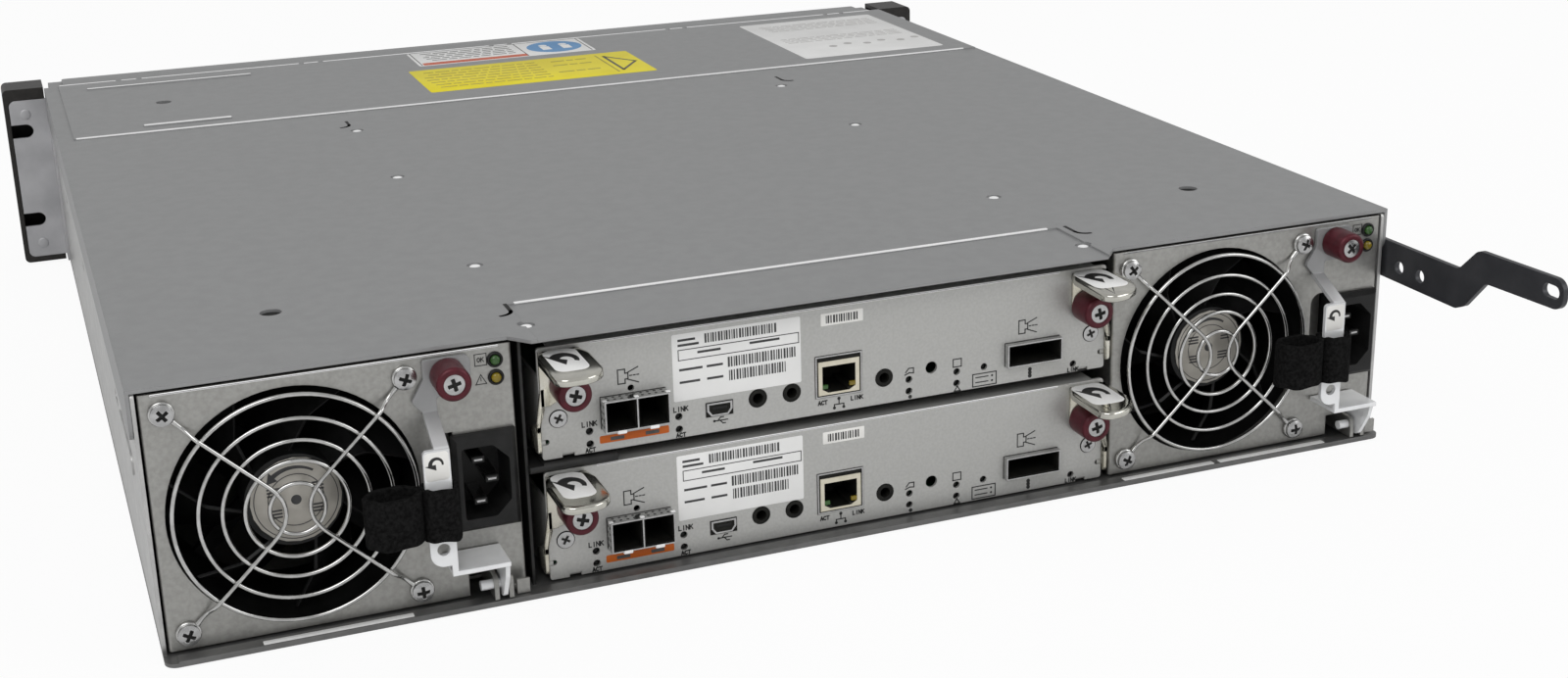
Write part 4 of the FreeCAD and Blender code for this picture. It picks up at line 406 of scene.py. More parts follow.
# one row for each finish; the tones are linear red, green and blue, and the edge is in millimetres
finishColumns = ("dark", "light", "metallic", "roughness", "specular", "mottleScale", "grainScale", "bump",
                 "edge")
finishRows = {
    "coverGrey": ((0.285, 0.288, 0.29), (0.305, 0.308, 0.31), 0.3, 0.42, 0.5, 180, 2200, 0.15, 0.4),
    "zincSheet": ((0.345, 0.342, 0.325), (0.405, 0.402, 0.385), 0.8, 0.36, 0.5, 700, 1800, 0.12, 0.35),
    # the handle's near-white tone is a painted reflection of white glare
    "handleGlareAndShade": ((0.86, 0.87, 0.88), (0.93, 0.94, 0.95), 0.25, 0.2, 0.5, 150, 1500, 0.08, 0.4),
    # painted shade: near-black for the bay walls and the shelf between the modules
    "innerSteelPaintedShade": ((0.022, 0.022, 0.022), (0.036, 0.036, 0.035), 0.5, 0.4, 0.5, 160, 900, 0.15, 0.3),
    "traySteelPaintedShade": ((0.48, 0.48, 0.475), (0.58, 0.58, 0.57), 0.7, 0.38, 0.5, 160, 900, 0.15, 0.3),
    # painted highlight: a dimmer grey for the second supply's folded edge
    "paintedHighlightSoft": ((0.46, 0.465, 0.465), (0.56, 0.56, 0.55), 0.7, 0.38, 0.5, 160, 900, 0.15, 0.3),
    "faceSilver": ((0.455, 0.455, 0.44), (0.50, 0.50, 0.485), 0.5, 0.38, 0.5, 1100, 2200, 0.1, 0.35),
    "leverCream": ((0.62, 0.59, 0.48), (0.80, 0.78, 0.70), 0.9, 0.24, 0.5, 120, 1200, 0.08, 0.4),
    "armSteel": ((0.04, 0.041, 0.047), (0.055, 0.056, 0.062), 0.4, 0.38, 0.5, 90, 1500, 0.12, 0.4),
    "earSteel": ((0.42, 0.42, 0.434), (0.52, 0.52, 0.534), 0.5, 0.45, 0.5, 60, 1500, 0.12, 0.3),
    "capBlack": ((0.014, 0.013, 0.012), (0.022, 0.02, 0.018), 0.0, 0.42, 0.35, 300, 3500, 0.25, 0.5),
    "mouldedBlack": ((0.008, 0.008, 0.008), (0.014, 0.014, 0.014), 0.0, 0.42, 0.3, 200, 3000, 0.2, 0.4),
    "fanBlack": ((0.005, 0.005, 0.005), (0.009, 0.009, 0.009), 0.0, 0.35, 0.3, 200, 2500, 0.15, 0.4),
    "carrierGrey": ((0.10, 0.10, 0.10), (0.14, 0.14, 0.14), 0.0, 0.5, 0.5, 200, 2500, 0.2, 0.3),
    "solderMask": ((0.008, 0.09, 0.035), (0.015, 0.13, 0.05), 0.0, 0.32, 0.5, 500, 800, 0.2, 0.0),
    "brightWire": ((0.50, 0.50, 0.49), (0.64, 0.64, 0.63), 1.0, 0.12, 0.5, 300, 2500, 0.05, 0.0),
    "screwSteel": ((0.46, 0.46, 0.46), (0.56, 0.56, 0.56), 1.0, 0.24, 0.5, 400, 3500, 0.1, 0.15),
    "burgundy": ((0.06, 0.004, 0.01), (0.092, 0.007, 0.016), 0.35, 0.36, 0.5, 350, 2600, 0.3, 0.4),
    "lensGreen": ((0.025, 0.07, 0.018), (0.045, 0.12, 0.03), 0.0, 0.15, 0.5, 200, 1500, 0.02, 0.0),
    # black of the port inserts, and painted shade as liners inside the port openings
    "portBlackAndShade": ((0.008, 0.008, 0.007), (0.014, 0.014, 0.012), 0.0, 0.5, 0.15, 300, 3000, 0.15, 0.15),
    "labelWhite": ((0.80, 0.80, 0.79), (0.86, 0.86, 0.85), 0.0, 0.45, 0.5, 60, 2500, 0.06, 0.0),
    "labelWarm": ((0.80, 0.79, 0.76), (0.87, 0.86, 0.83), 0.0, 0.4, 0.5, 90, 2500, 0.06, 0.0),
    "labelBright": ((0.84, 0.84, 0.83), (0.90, 0.90, 0.89), 0.0, 0.3, 0.5, 60, 1800, 0.05, 0.0),
    "labelYellow": ((0.84, 0.71, 0.015), (0.91, 0.79, 0.02), 0.0, 0.5, 0.3, 50, 2500, 0.06, 0.0),
    "labelBlue": ((0.08, 0.25, 0.50), (0.11, 0.30, 0.57), 0.0, 0.45, 0.5, 50, 2500, 0.06, 0.0),
    "labelOrange": ((0.50, 0.10, 0.01), (0.57, 0.13, 0.014), 0.0, 0.5, 0.3, 50, 2500, 0.06, 0.0),
    "discSilver": ((0.40, 0.38, 0.34), (0.47, 0.45, 0.41), 0.6, 0.35, 0.5, 120, 2500, 0.06, 0.0),
    # black for print, and painted shade in the cage's holes
    "printAndHoleShadeBlack": ((0.01, 0.01, 0.01), (0.018, 0.018, 0.018), 0.0, 0.45, 0.5, 300, 3000, 0.05, 0.0),
    "printGrey": ((0.055, 0.055, 0.055), (0.085, 0.085, 0.085), 0.0, 0.5, 0.5, 300, 3000, 0.05, 0.0),
    "portCream": ((0.62, 0.58, 0.46), (0.70, 0.66, 0.54), 0.0, 0.45, 0.5, 300, 3000, 0.08, 0.15),
    "contactGold": ((0.70, 0.48, 0.16), (0.85, 0.62, 0.26), 1.0, 0.22, 0.5, 300, 2500, 0.04, 0.0),
    "lensAmber": ((0.17, 0.125, 0.01), (0.25, 0.185, 0.015), 0.0, 0.18, 0.5, 200, 1500, 0.02, 0.0),
    # painted shade in cross recesses, round the flush screws and in the cover's holes, notches and slits
    "paintedRecessShade": ((0.012, 0.012, 0.012), (0.022, 0.022, 0.021), 0.0, 0.5, 0.15, 500, 3000, 0.1, 0.0),
    # painted highlight: near-white for the lit folded edges and pressed lines, and for the rivet and latch
    # tops
    "paintedHighlightWhite": ((0.93, 0.93, 0.93), (0.98, 0.98, 0.98), 0.0, 0.25, 0.5, 200, 1500, 0.05, 0.0),
    "labelInk": ((0.03, 0.03, 0.032), (0.05, 0.05, 0.052), 0.0, 0.5, 0.5, 300, 3000, 0.04, 0.0),
    "tabSteel": ((0.56, 0.55, 0.50), (0.70, 0.69, 0.62), 1.0, 0.14, 0.5, 150, 1500, 0.06, 0.0),
    "printPale": ((0.42, 0.41, 0.40), (0.50, 0.49, 0.48), 0.0, 0.5, 0.5, 200, 2500, 0.04, 0.0),
    "printOlive": ((0.36, 0.29, 0.03), (0.44, 0.36, 0.05), 0.0, 0.5, 0.5, 200, 2500, 0.04, 0.0),
    "labelRed": ((0.55, 0.09, 0.03), (0.64, 0.12, 0.05), 0.0, 0.5, 0.5, 80, 2500, 0.05, 0.0),
    "strapWeave": ((0.004, 0.004, 0.004), (0.012, 0.012, 0.012), 0.0, 0.95, 0.06, 900, 2600, 0.9, 0.0),
}
finishDefaults = {"stretch": (1, 1, 1), "roughnessSpread": 0.08, "bumpDepth": 0.05}
finishExtras = {
    # painted shade: the handle's upper part darkened against its painted glare
    "handleGlareAndShade": {"paintedShadeTone": 0.34, "paintedShadeSpan": (68.0, 56.0)},
    # painted shade: the tray darkened along its bottom lip, near the floor
    "traySteelPaintedShade": {"paintedShadeTone": 0.34, "paintedShadeSpan": (2.6, 5.0)},
    "solderMask": {"bumpDepth": 0.1},
    "brightWire": {"roughnessSpread": 0.05},
    "strapWeave": {"stretch": (1, 1, 0.35), "bumpDepth": 0.25},
}
finishes = {}
for name, row in finishRows.items():
    look = {**finishDefaults, **dict(zip(finishColumns, row)), **finishExtras.get(name, {})}
    finishes[name] = makeFinish(name, look)
print("finishes made:", len(finishes))

# finishes on the nodes that keep their own shape
nodeFinishes = {
    "top_cover": "coverGrey", "chassis_tray": "traySteelPaintedShade", "drive_cage": "coverGrey",
    # painted shade on the bay walls and the shelf between the modules
    "bay_walls": "innerSteelPaintedShade", "controller_shelf": "innerSteelPaintedShade", "rack_ears": "earSteel",
    "rear_arm": "armSteel", "drive_blanks": "capBlack", "left_ear_cap": "capBlack",
    "right_ear_cap": "capBlack", "midplane_board": "solderMask", "midplane_connectors": "mouldedBlack",
}
driveFinishes = {"carrier": "carrierGrey", "lever": "capBlack"}
supplyFinishes = {
    "case": "zincSheet", "fan_frame": "fanBlack", "fan_rotor": "fanBlack", "fan_guard": "brightWire",
    "guard_screws": "screwSteel", "inlet": "mouldedBlack", "lights": "lensGreen", "connector": "mouldedBlack",
    "handle": "handleGlareAndShade", "thumbscrew": "burgundy", "cable_strap": "mouldedBlack",
}
controllerFinishes = {
    "tray": "faceSilver", "board": "solderMask", "connector": "mouldedBlack", "port_shells": "screwSteel",
    "port_inserts": "portBlackAndShade", "light_pipes": "mouldedBlack", "left_lever": "leverCream",
    "right_lever": "leverCream", "left_thumbscrew": "burgundy", "right_thumbscrew": "burgundy",
}
modules = [("drive_%d_" % n, driveFinishes) for n in (1, 2, 3)]
modules += [("psu_%d_" % n, supplyFinishes) for n in (1, 2)]
modules += [("%s_controller_" % place, controllerFinishes) for place in ("lower", "upper")]
for prefix, partFinishes in modules:
    nodeFinishes.update({prefix + part: finish for part, finish in partFinishes.items()})
for node, finish in nodeFinishes.items():
    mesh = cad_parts[node].data
    mesh.materials.clear()
    mesh.materials.append(finishes[finish])
print("nodes finished:", len(nodeFinishes))

# places shared by the pieces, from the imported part
faceY = high("psu_1_fan_frame")[1] + 1.3    # the plane of the module faces
supplies = (1, 2)
controllers = ("lower", "upper")


def supplyPoint(n, across, up, out=0.0):
    # a point on a supply's face, counted from its lower left corner as seen from the rear
    case = "psu_%d_case" % n
    return np.array([high(case)[0] - across, faceY + out, low(case)[2] + up])


def controllerPoint(place, across, up, out=0.0):
    # a point on a controller's face, counted the same way; the face is wider and lower than its board
    board = "%s_controller_board" % place
    return np.array([high(board)[0] + 2.2 - across, faceY + out, low(board)[2] - 4.0 + up])


letterLines = {
    "A": [[(0, 0), (0.4, 1), (0.8, 0)], [(0.15, 0.35), (0.65, 0.35)]],
    "C": [[(0.8, 0.85), (0.5, 1), (0.15, 0.85), (0, 0.5), (0.15, 0.15), (0.5, 0), (0.8, 0.15)]],
    "I": [[(0.4, 0), (0.4, 1)]],
    "K": [[(0, 0), (0, 1)], [(0.75, 1), (0, 0.45)], [(0.25, 0.6), (0.8, 0)]],
    "L": [[(0.1, 1), (0.1, 0), (0.7, 0)]],
    "N": [[(0, 0), (0, 1), (0.8, 0), (0.8, 1)]],
    "O": [[(0.4, 1), (0.05, 0.75), (0.05, 0.25), (0.4, 0), (0.75, 0.25), (0.75, 0.75), (0.4, 1)]],
    "T": [[(0, 1), (0.8, 1)], [(0.4, 1), (0.4, 0)]],
}


def wordLines(word, x, y, size):
    # a word's strokes, centred on (x, y): each letter's unit strokes times size, one step of 0.88 size apart
    step = 0.88 * size
    start = x - step * len(word) / 2 + 0.12 * size
    lines = []
    for place, letter in enumerate(word):
        for line in letterLines[letter]:
            lines.append([(start + place * step + 0.8 * a * size, y + (b - 0.5) * size) for a, b in line])
    return lines


def closedBox(left, bottom, right, top):
    # a box drawn as one line that comes back to its start
    return boxOutline(left, bottom, right, top) + [(left, bottom)]


# thumbscrews: a turned sleeve in its colour, with a steel cross-head in the end and painted shade in its
# cross

thumbLook = {"bore": 1.85, "radius": 5.5, "rim": 0.35, "long": 10.6, "headRadius": 3.3, "headSink": 0.3,
             "dome": 0.3, "bury": 2.2, "cross": (1.0, 3.9, 1.5), "floorSink": 0.32,
             "supplyTurns": {1: -0.25, 2: -0.75}, "leverTurns": {"left": 0.3, "right": -0.2}}


def makeThumbscrew(node, body, turn):
    # the sleeve is a profile turned about the screw's line: a bore, a chamfered seat and a stepped end
    x, _, z = middle(node)
    start, end = low(node)[1], high(node)[1]
    seat = end - thumbLook["long"]
    bore, r, rim = thumbLook["bore"], thumbLook["radius"], thumbLook["rim"]
    inner = thumbLook["headRadius"] + 0.08
    profile = [(bore, start), (bore, seat), (r - rim, seat), (r, seat + rim), (r, end - 1.3),
               (r - 0.12, end - 0.7), (r - 0.42, end - 0.28), (r - 0.95, end - 0.04), (inner + 0.3, end),
               (inner, end - 0.12), (inner, end - 1.2)]
    makePiece(node + "_sleeve", turnedSurface((x, 0, z), profile, 64), "burgundy", body, [node], 38)
    head, recess = crossScrew((x, end - thumbLook["headSink"], z), thumbLook, turn)
    makePiece(node + "_head", head, "screwSteel", body, sharp=40)
    makePiece(node + "_recessShade", recess, "paintedRecessShade", body)


for n in supplies:
    makeThumbscrew("psu_%d_thumbscrew" % n, "psu_%d_screw" % n, thumbLook["supplyTurns"][n])
for place in controllers:
    for side, turn in thumbLook["leverTurns"].items():
        makeThumbscrew("%s_controller_%s_thumbscrew" % (place, side), "%s_%s_screw" % (place, side), turn)
print("thumbscrews made")

# wire guards over the fans, with the screws at their corners

guardLook = {"ringRadii": (8.3, 15.6, 22.2, 29.2, 36.7), "wire": 0.68, "ringOut": 3.1, "spokeThicker": 0.35,
             "eyeBore": 2.2, "eyeRadius": 3.9, "eyeThick": 1.3, "spacing": 71.5, "headOut": 1.25,
             "headRadius": 3.35, "dome": 0.75, "bury": 9.0, "cross": (0.9, 3.8, 1.3), "floorSink": 0.3,
             "turns": (0.4, 0.95, 1.5, 2.05), "thickSteps": 10.0,
             # half a spoke, from its eye to the middle: across, down and out from the fan's line
             "bends": ((33.0, 33.1, 0.9), (31.2, 31.2, 1.0), (29.4, 29.4, 1.9), (27.2, 27.2, 4.05),
                       (24.6, 24.8, 4.35), (10.5, 11.2, 4.35), (6.9, 7.6, 4.35), (4.7, 4.4, 4.35),
                       (3.9, 2.0, 4.35), (3.7, 0.0, 4.35))}


def makeGuard(n):
    # rings: wires on circles about the fan's line; spokes: wires on smooth paths through the bends, thicker
    # towards both ends; eyes: turned rings under the corner screws, whose cross recesses get painted shade
    x, _, z = middle("psu_%d_fan_guard" % n)
    body, wire = "psu_%d" % n, guardLook["wire"]
    surfaces = []
    for radius in guardLook["ringRadii"]:
        circle = discOutline(x, z, radius, 96)
        ring = np.stack([circle[:, 0], np.full(96, faceY + guardLook["ringOut"]), circle[:, 1]], -1)
        surfaces.append(wireSurface(ring, wire, 10, closed=True))
    bends = guardLook["bends"]
    for side in (1, -1):
        path = [(x + side * a, faceY + c, z - b) for a, b, c in bends]
        path += [(x + side * a, faceY + c, z + b) for a, b, c in bends[-2::-1]]
        smooth = smoothPath(path, 8)
        fromEnd = np.minimum(np.arange(len(smooth)), np.arange(len(smooth))[::-1])
        thick = wire * (1 + guardLook["spokeThicker"] * np.clip(1 - fromEnd / guardLook["thickSteps"], 0, 1))
        surfaces.append(wireSurface(smooth, thick, 10))
    bore, r, t = guardLook["eyeBore"], guardLook["eyeRadius"], guardLook["eyeThick"]
    half = guardLook["spacing"] / 2
    eye = [(bore, 0.1), (r - 0.3, 0.1), (r, 0.4), (r, t - 0.3), (r - 0.3, t), (bore, t)]
    for a in (-1, 1):
        for b in (-1, 1):
            surfaces.append(turnedSurface((x + a * half, faceY, z + b * half), eye, 40, ring=True))
    makePiece(body + "_wireGuard", joined(surfaces), "brightWire", body, [body + "_fan_guard"], 50)
    screws = []
    for turn, (a, b) in zip(guardLook["turns"], ((-1, 1), (1, 1), (-1, -1), (1, -1))):
        centre = (x + a * half, faceY + t + guardLook["headOut"], z + b * half)
        screws.append(crossScrew(centre, guardLook, turn))
    heads, recesses = zip(*screws)
    makePiece(body + "_cornerRecessShade", joined(recesses), "paintedRecessShade", body)
    makePiece(body + "_cornerScrews", joined(heads), "screwSteel", body, [body + "_guard_screws"], 40)


for n in supplies:
    makeGuard(n)
print("fan guards made")

# the disc on each fan's hub, with plain printed rings and bars

hubLook = {"radius": 13.9, "layers": ((0.0, 0.0), (0.0, 0.18), (0.12, 0.25)), "out": 0.05, "printOut": 0.29,
           "rings": (12.9, 8.6), "ringWide": 0.28, "dot": 1.6, "arrow": (0, 0.5, 10.2, 1.5, 55, 128, 3.2),
           "bars": ((-6.5, 3.4, 4.2), (6.8, 3.6, 3.6), (-6.2, -3.8, 3.4), (6.0, -3.6, 4.0)),
           "barStep": 1.1, "barHalf": 0.3, "ink": 0.05}


def makeHubDisc(n):
    # a round plate; on it thin rings, a dot, an arc with a tip, and bars (centre x, y and length) in threes
    rotor, body = "psu_%d_fan_rotor" % n, "psu_%d_fan" % n
    x, _, z = middle(rotor)
    y = high(rotor)[1]
    radius, half, step, thick = hubLook["radius"], hubLook["barHalf"], hubLook["barStep"], hubLook["ink"]
    disc = plateSurface((x, y + hubLook["out"], z), onRear, 2 * radius, 2 * radius, radius, hubLook["layers"])
    makePiece(rotor + "_disc", disc, "discSilver", body)
    origin = (x, y + hubLook["printOut"], z)
    ink = []
    for r in hubLook["rings"]:
        edges = discOutline(0, 0, r, 64), discOutline(0, 0, r - hubLook["ringWide"], 64)
        ink.append(frameSurface(origin, onRear, *edges, thick))
    marks = []
    for a, b, length in hubLook["bars"]:
        for rise in (b - step, b, b + step):
            marks.append(boxOutline(a - length / 2, rise - half, a + length / 2, rise + half))
    marks += [discOutline(0, 0, hubLook["dot"], 24), turnArrowOutline(*hubLook["arrow"])]
    ink += printAll(origin, onRear, marks, thick)
    makePiece(rotor + "_print", joined(ink), "labelInk", body, sharp=30)


for n in supplies:
    makeHubDisc(n)
print("hub discs made")

# each supply's inlet blades, lights and small signs

supplyLook = {"bladeShifts": ((2.0, 7.0), (-2.0, 0.0), (2.0, -7.0)), "bladeSize": (4.1, 2.1, 0.3),
              "bladeSink": 12.9, "bladeLayers": ((0.0, 0.0), (0.0, 12.6), (0.35, 13.6), (0.75, 14.1)),
              "lightAcross": 106.2, "lights": (("green", 78.4, "lensGreen"), ("amber", 72.6, "lensAmber")),
              "lensRadius": 1.55, "lensTall": 0.9, "lightFoot": -2.5, "okBox": (99.9, 77.0, 103.6, 80.8),
              "faultLines": ([(99.8, 70.9), (103.2, 70.9), (101.5, 74.0), (99.8, 70.9)],
                             [(101.5, 73.0), (101.5, 72.0)]),
              "okWord": ("OK", 101.7, 78.9, 1.35), "stroke": 0.28, "ink": 0.06}


def makeSupplyTrim(n):
    # blades: rounded posts in the inlet; lenses: quarter circles turned about Y, in a turned rim
    body, look = "psu_%d" % n, supplyLook
    inlet = middle(body + "_inlet")
    blades = []
    for shiftX, shiftZ in look["bladeShifts"]:
        root = (inlet[0] + shiftX, faceY - look["bladeSink"], inlet[2] + shiftZ)
        blades.append(plateSurface(root, onRear, *look["bladeSize"], look["bladeLayers"]))
    makePiece(body + "_inletBlades", joined(blades), "screwSteel", body)
    lights = body + "_lights"
    out = high(lights)[1] - faceY
    r, tall, foot = look["lensRadius"], look["lensTall"], look["lightFoot"]
    arc = np.linspace(0, np.pi / 2, 8)
    dome = [(r, foot)] + [(max(r * math.cos(a), 0.02), out - tall + tall * math.sin(a)) for a in arc]
    rim = [(r + 0.03, foot), (2.2, foot), (2.2, 0.02), (2.55, 0.05), (2.55, 0.55), (2.35, 0.8), (2.05, 0.85),
           (r + 0.03, 0.5)]
    for name, up, finish in look["lights"]:
        place = supplyPoint(n, look["lightAcross"], up)
        makePiece("%s_%sLens" % (body, name), turnedSurface(place, dome, 32), finish, body, [lights], 60)
        collar = turnedSurface(place, rim, 40, ring=True)
        makePiece("%s_%sRim" % (body, name), collar, "mouldedBlack", body, [lights], 60)
    lines = [closedBox(*look["okBox"]), *look["faultLines"], *wordLines(*look["okWord"])]
    signs = printAll(supplyPoint(n, 0, 0), onRear, strokeOutlines(lines, look["stroke"]), look["ink"])
    makePiece(body + "_signs", joined(signs), "printAndHoleShadeBlack", body)


for n in supplies:
    makeSupplyTrim(n)
print("supply trim made")

# handle labels with a turn arrow

handleLook = {"left": 79.0, "right": 86.4, "low": 47.9, "top": 57.2, "corner": 1.2,
              "layers": ((0.0, 0.0), (0.0, 0.06), (0.05, 0.09)),
              "arrow": (82.6, 53.2, 1.9, 1.3, -10, 185, 2.7), "ink": 0.05}


def makeHandleLabel(n):
    # a thin rounded plate on the handle's outer face, and an arc with a tip on it
    body, look = "psu_%d_grip" % n, handleLook
    out = high("psu_%d_handle" % n)[1] - faceY
    centre = supplyPoint(n, (look["left"] + look["right"]) / 2, (look["low"] + look["top"]) / 2, out)
    size = look["right"] - look["left"], look["top"] - look["low"]
    label = plateSurface(centre, onRear, *size, look["corner"], look["layers"])
    makePiece("psu_%d_handleLabel" % n, label, "labelWarm", body)
    onLabel = supplyPoint(n, 0, 0, out + look["layers"][-1][1])
    arrow = printSurface(onLabel, onRear, turnArrowOutline(*look["arrow"]), look["ink"])
    makePiece("psu_%d_handleArrow" % n, arrow, "printAndHoleShadeBlack", body)


for n in supplies:
    makeHandleLabel(n)
print("handle labels made")

# hook and loop straps: a close turn round the grip and an open loop beside it

strapLook = {"thick": 1.7, "turnHeight": 17.2, "loopHeight": 16.3, "gripWide": 10.2, "flat": (0.0176, 0.0725)}


def makeStrap(n):
    # two closed bands on smooth plan paths, whose points are set off from the grip and the strap's reach
    node = "psu_%d_cable_strap" % n
    (xLow, yLow, zLow), (xHigh, yHigh, zHigh) = low(node), high(node)
    thick = strapLook["thick"]
    half = thick / 2
    a = xLow + half + 0.05         # the grip's right side
    b = a + strapLook["gripWide"]  # its left side
    end = xHigh - half - 0.1
    back, out = yLow + half + 0.05, yHigh - half - 0.05
    mid = (back + out) / 2
    turn = [(a, mid - 1.2), (a, mid + 1.4), (a + 1.6, out - 0.7), (b - 2.6, out - 0.55), (b - 0.4, mid + 1.9),
            (b - 0.3, mid - 1.9), (b - 2.2, back + 2.3), (a + 1.6, back + 2.4)]
    loop = [(b + 1.1, mid + 1.5), (b + 3.2, out - 0.9), (b + 7.5, out), (end - 3.6, out - 0.3),
            (end - 0.6, out - 2.9), (end, mid), (end - 0.7, back + 2.6), (end - 4.0, back + 0.4),
            (b + 7.0, back), (b + 2.8, back + 1.2), (b + 1.1, mid - 1.5)]
    bands = []
    for path, height in ((turn, strapLook["turnHeight"]), (loop, strapLook["loopHeight"])):
        bands.append(bandSurface(smoothPath(path, 10, closed=True), height, thick, (zLow + zHigh) / 2))
    strap = makePiece("psu_%d_strap" % n, joined(bands), "strapWeave", "psu_%d_grip" % n, [node], 70)


for n in supplies:
    makeStrap(n)
print("straps made")

# controller faces: flush screws, labels and small signs

controllerLook = {
    "plates": (("faceLabel", "labelWhite", (44.4, 12.6, 88.9, 35.6), 0.6),
               ("faceTag", "labelWarm", (96.2, 30.9, 111.4, 35.2), 0.3),
               ("orangeStrip", "labelOrange", (19.0, 2.5, 42.4, 5.1), 0.5)),
    # bar groups: left, right, bottom, top and the first step; short rules: left, bottom and length
    "bars": ((55.6, 80.9, 31.4, 34.6, 3), (63.3, 88.0, 21.9, 25.4, 8), (63.6, 84.2, 17.2, 20.8, 13)),
    "rules": ((46.4, 33.0, 6.0), (46.4, 31.3, 7.2), (46.6, 22.9, 8.0), (46.6, 18.6, 7.0), (56.0, 22.9, 5.6),
              (56.0, 18.6, 5.6), (53.0, 28.2, 8.0), (71.0, 28.6, 10.5)),
    "ruleTall": 0.8, "labelBox": (46.5, 26.6, 88.2, 30.1), "boxStroke": 0.3,
    "tagBars": (98.0, 109.6, 31.7, 34.4, 5), "labelThick": 0.08, "labelInk": 0.03, "faceInk": 0.04,
    "words": (("LINK", 15.8, 9.9, 1.5), ("ACT", 15.8, 0.95, 1.3), ("LINK", 46.6, 9.9, 1.5),
              ("ACT", 46.4, 0.95, 1.3), ("ACT", 96.4, 3.9, 1.3), ("LINK", 108.8, 3.9, 1.3),
              ("LINK", 191.3, 0.95, 1.3)),
    # a plug with three leads fanning out, over each cable port
    "plugs": ((27.4, 24.2), (171.2, 19.7)),
    "plugLines": ([(-1.4, -2.4), (1.0, -2.4), (1.0, -1.0), (2.0, -1.0), (2.0, 1.0), (1.0, 1.0), (1.0, 2.4),
                   (-1.4, 2.4), (-1.4, -2.4)], [(2.0, 1.2), (5.4, 2.6)], [(2.0, -1.2), (5.4, -2.6)],
                  [(2.6, 0), (3.2, 0)], [(3.8, 0), (4.4, 0)], [(5.0, 0), (5.6, 0)]),
    # a small network tree, a forked lead, a fault triangle and square, and rounded boxes
    "signLines": ([(102.3, 4.3), (102.3, 2.6)], [(100.6, 1.7), (100.6, 2.6), (104.0, 2.6), (104.0, 1.7)],
                  [(58.0, 3.8), (62.6, 3.8)], [(59.2, 3.8), (60.2, 4.9), (61.2, 4.9)],
                  [(60.0, 3.8), (61.0, 2.7), (61.8, 2.7)],
                  [(145.2, 0.2), (147.4, 0.2), (146.3, 1.9), (145.2, 0.2)],
                  closedBox(144.7, 9.0, 147.8, 11.8), closedBox(152.2, 0.6, 161.2, 5.1),
                  [(153.4, 3.8), (158.0, 3.8)], [(153.4, 2.0), (158.0, 2.0)],
                  [(126.6, 9.0), (128.2, 9.6), (129.8, 9.4), (129.8, 11.2), (128.0, 11.2), (126.9, 9.9)]),
    "spots": ((100.6, 1.4, 0.55), (104.0, 1.4, 0.55), (102.3, 4.6, 0.6), (58.0, 3.8, 0.45),
              (174.3, 1.3, 0.75), (174.3, 2.5, 0.75), (174.3, 3.7, 0.75), (128.5, 0.9, 0.7),
              (159.6, 3.8, 0.4), (159.6, 2.0, 0.4)),
    "stroke": 0.4, "screwUp": 13.4, "screwAcross": (5.8, 198.0), "headRadius": 2.8, "headOut": 0.38,
    "dome": 0.06, "bury": 0.5, "cross": (0.7, 3.0, 0.8), "floorSink": 0.04, "turns": (0.5, 1.2),
    # a dark ring of painted shadow round each flush screw: radii and heights
    "screwShadowRing": ((2.84, 0.0), (3.1, 0.0), (3.1, 0.06), (2.84, 0.06)),
}


def barLines(left, right, bottom, top, seed):
    # upright bars from left to right, their widths and gaps stepping round the golden ratio
    outlines, x, k = [], left, seed
    while x < right - 0.6:
        wide = 0.30 + 0.45 * ((k * 0.618) % 1)
        outlines.append(boxOutline(x, bottom, x + wide, top))
        x += wide + 0.25 + 0.30 * ((k * 0.382 + 0.2) % 1)
        k += 1
    return outlines


def makeControllerPrint(place):
    # thin plates on the face; bars, rules and a box on the label; words, signs and spots beside the ports;
    # and two flush screws, each with painted shade in its cross and a dark turned ring of painted shadow
    # round it
    body, look = place + "_controller", controllerLook
    origin = controllerPoint(place, 0, 0)
    for name, finish, box, corner in look["plates"]:
        plate = labelPlate(origin, onRear, box, corner, look["labelThick"])
        makePiece("%s_%s" % (place, name), plate, finish, body)
    onLabel = origin + (0, look["labelThick"], 0)
    outlines = []
    for group in look["bars"]:
        outlines += barLines(*group)
    outlines += [boxOutline(x, y, x + long, y + look["ruleTall"]) for x, y, long in look["rules"]]
    outlines += strokeOutlines([closedBox(*look["labelBox"])], look["boxStroke"]) + barLines(*look["tagBars"])
    inks = printAll(onLabel, onRear, outlines, look["labelInk"])
    makePiece(place + "_labelPrint", joined(inks), "labelInk", body)
    lines = []
    for word in look["words"]:
        lines += wordLines(*word)
    for x, y in look["plugs"]:
        lines += [[(x + a, y + b) for a, b in line] for line in look["plugLines"]]
    lines += look["signLines"]
    marks = strokeOutlines(lines, look["stroke"]) + [discOutline(*spot, 16) for spot in look["spots"]]
    inks = printAll(origin, onRear, marks, look["faceInk"])
    makePiece(place + "_faceSigns", joined(inks), "printAndHoleShadeBlack", body)
    screws, recesses = [], []
    for turn, across in zip(look["turns"], look["screwAcross"]):
        centre = controllerPoint(place, across, look["screwUp"], look["headOut"])
        head, recess = crossScrew(centre, look, turn)
        screws.append(head)
        seat = controllerPoint(place, across, look["screwUp"])
        recesses += [recess, turnedSurface(seat, look["screwShadowRing"], 40, ring=True)]
    makePiece(place + "_screwRecessShade", joined(recesses), "paintedRecessShade", body)
    makePiece(place + "_faceScrews", joined(screws), "screwSteel", body, sharp=40)


for place in controllers:
    makeControllerPrint(place)
print("controller faces printed")

# painted highlights: bright strips along the folded upper edges of the module faces, in place of the thin
# lines of light those edges catch

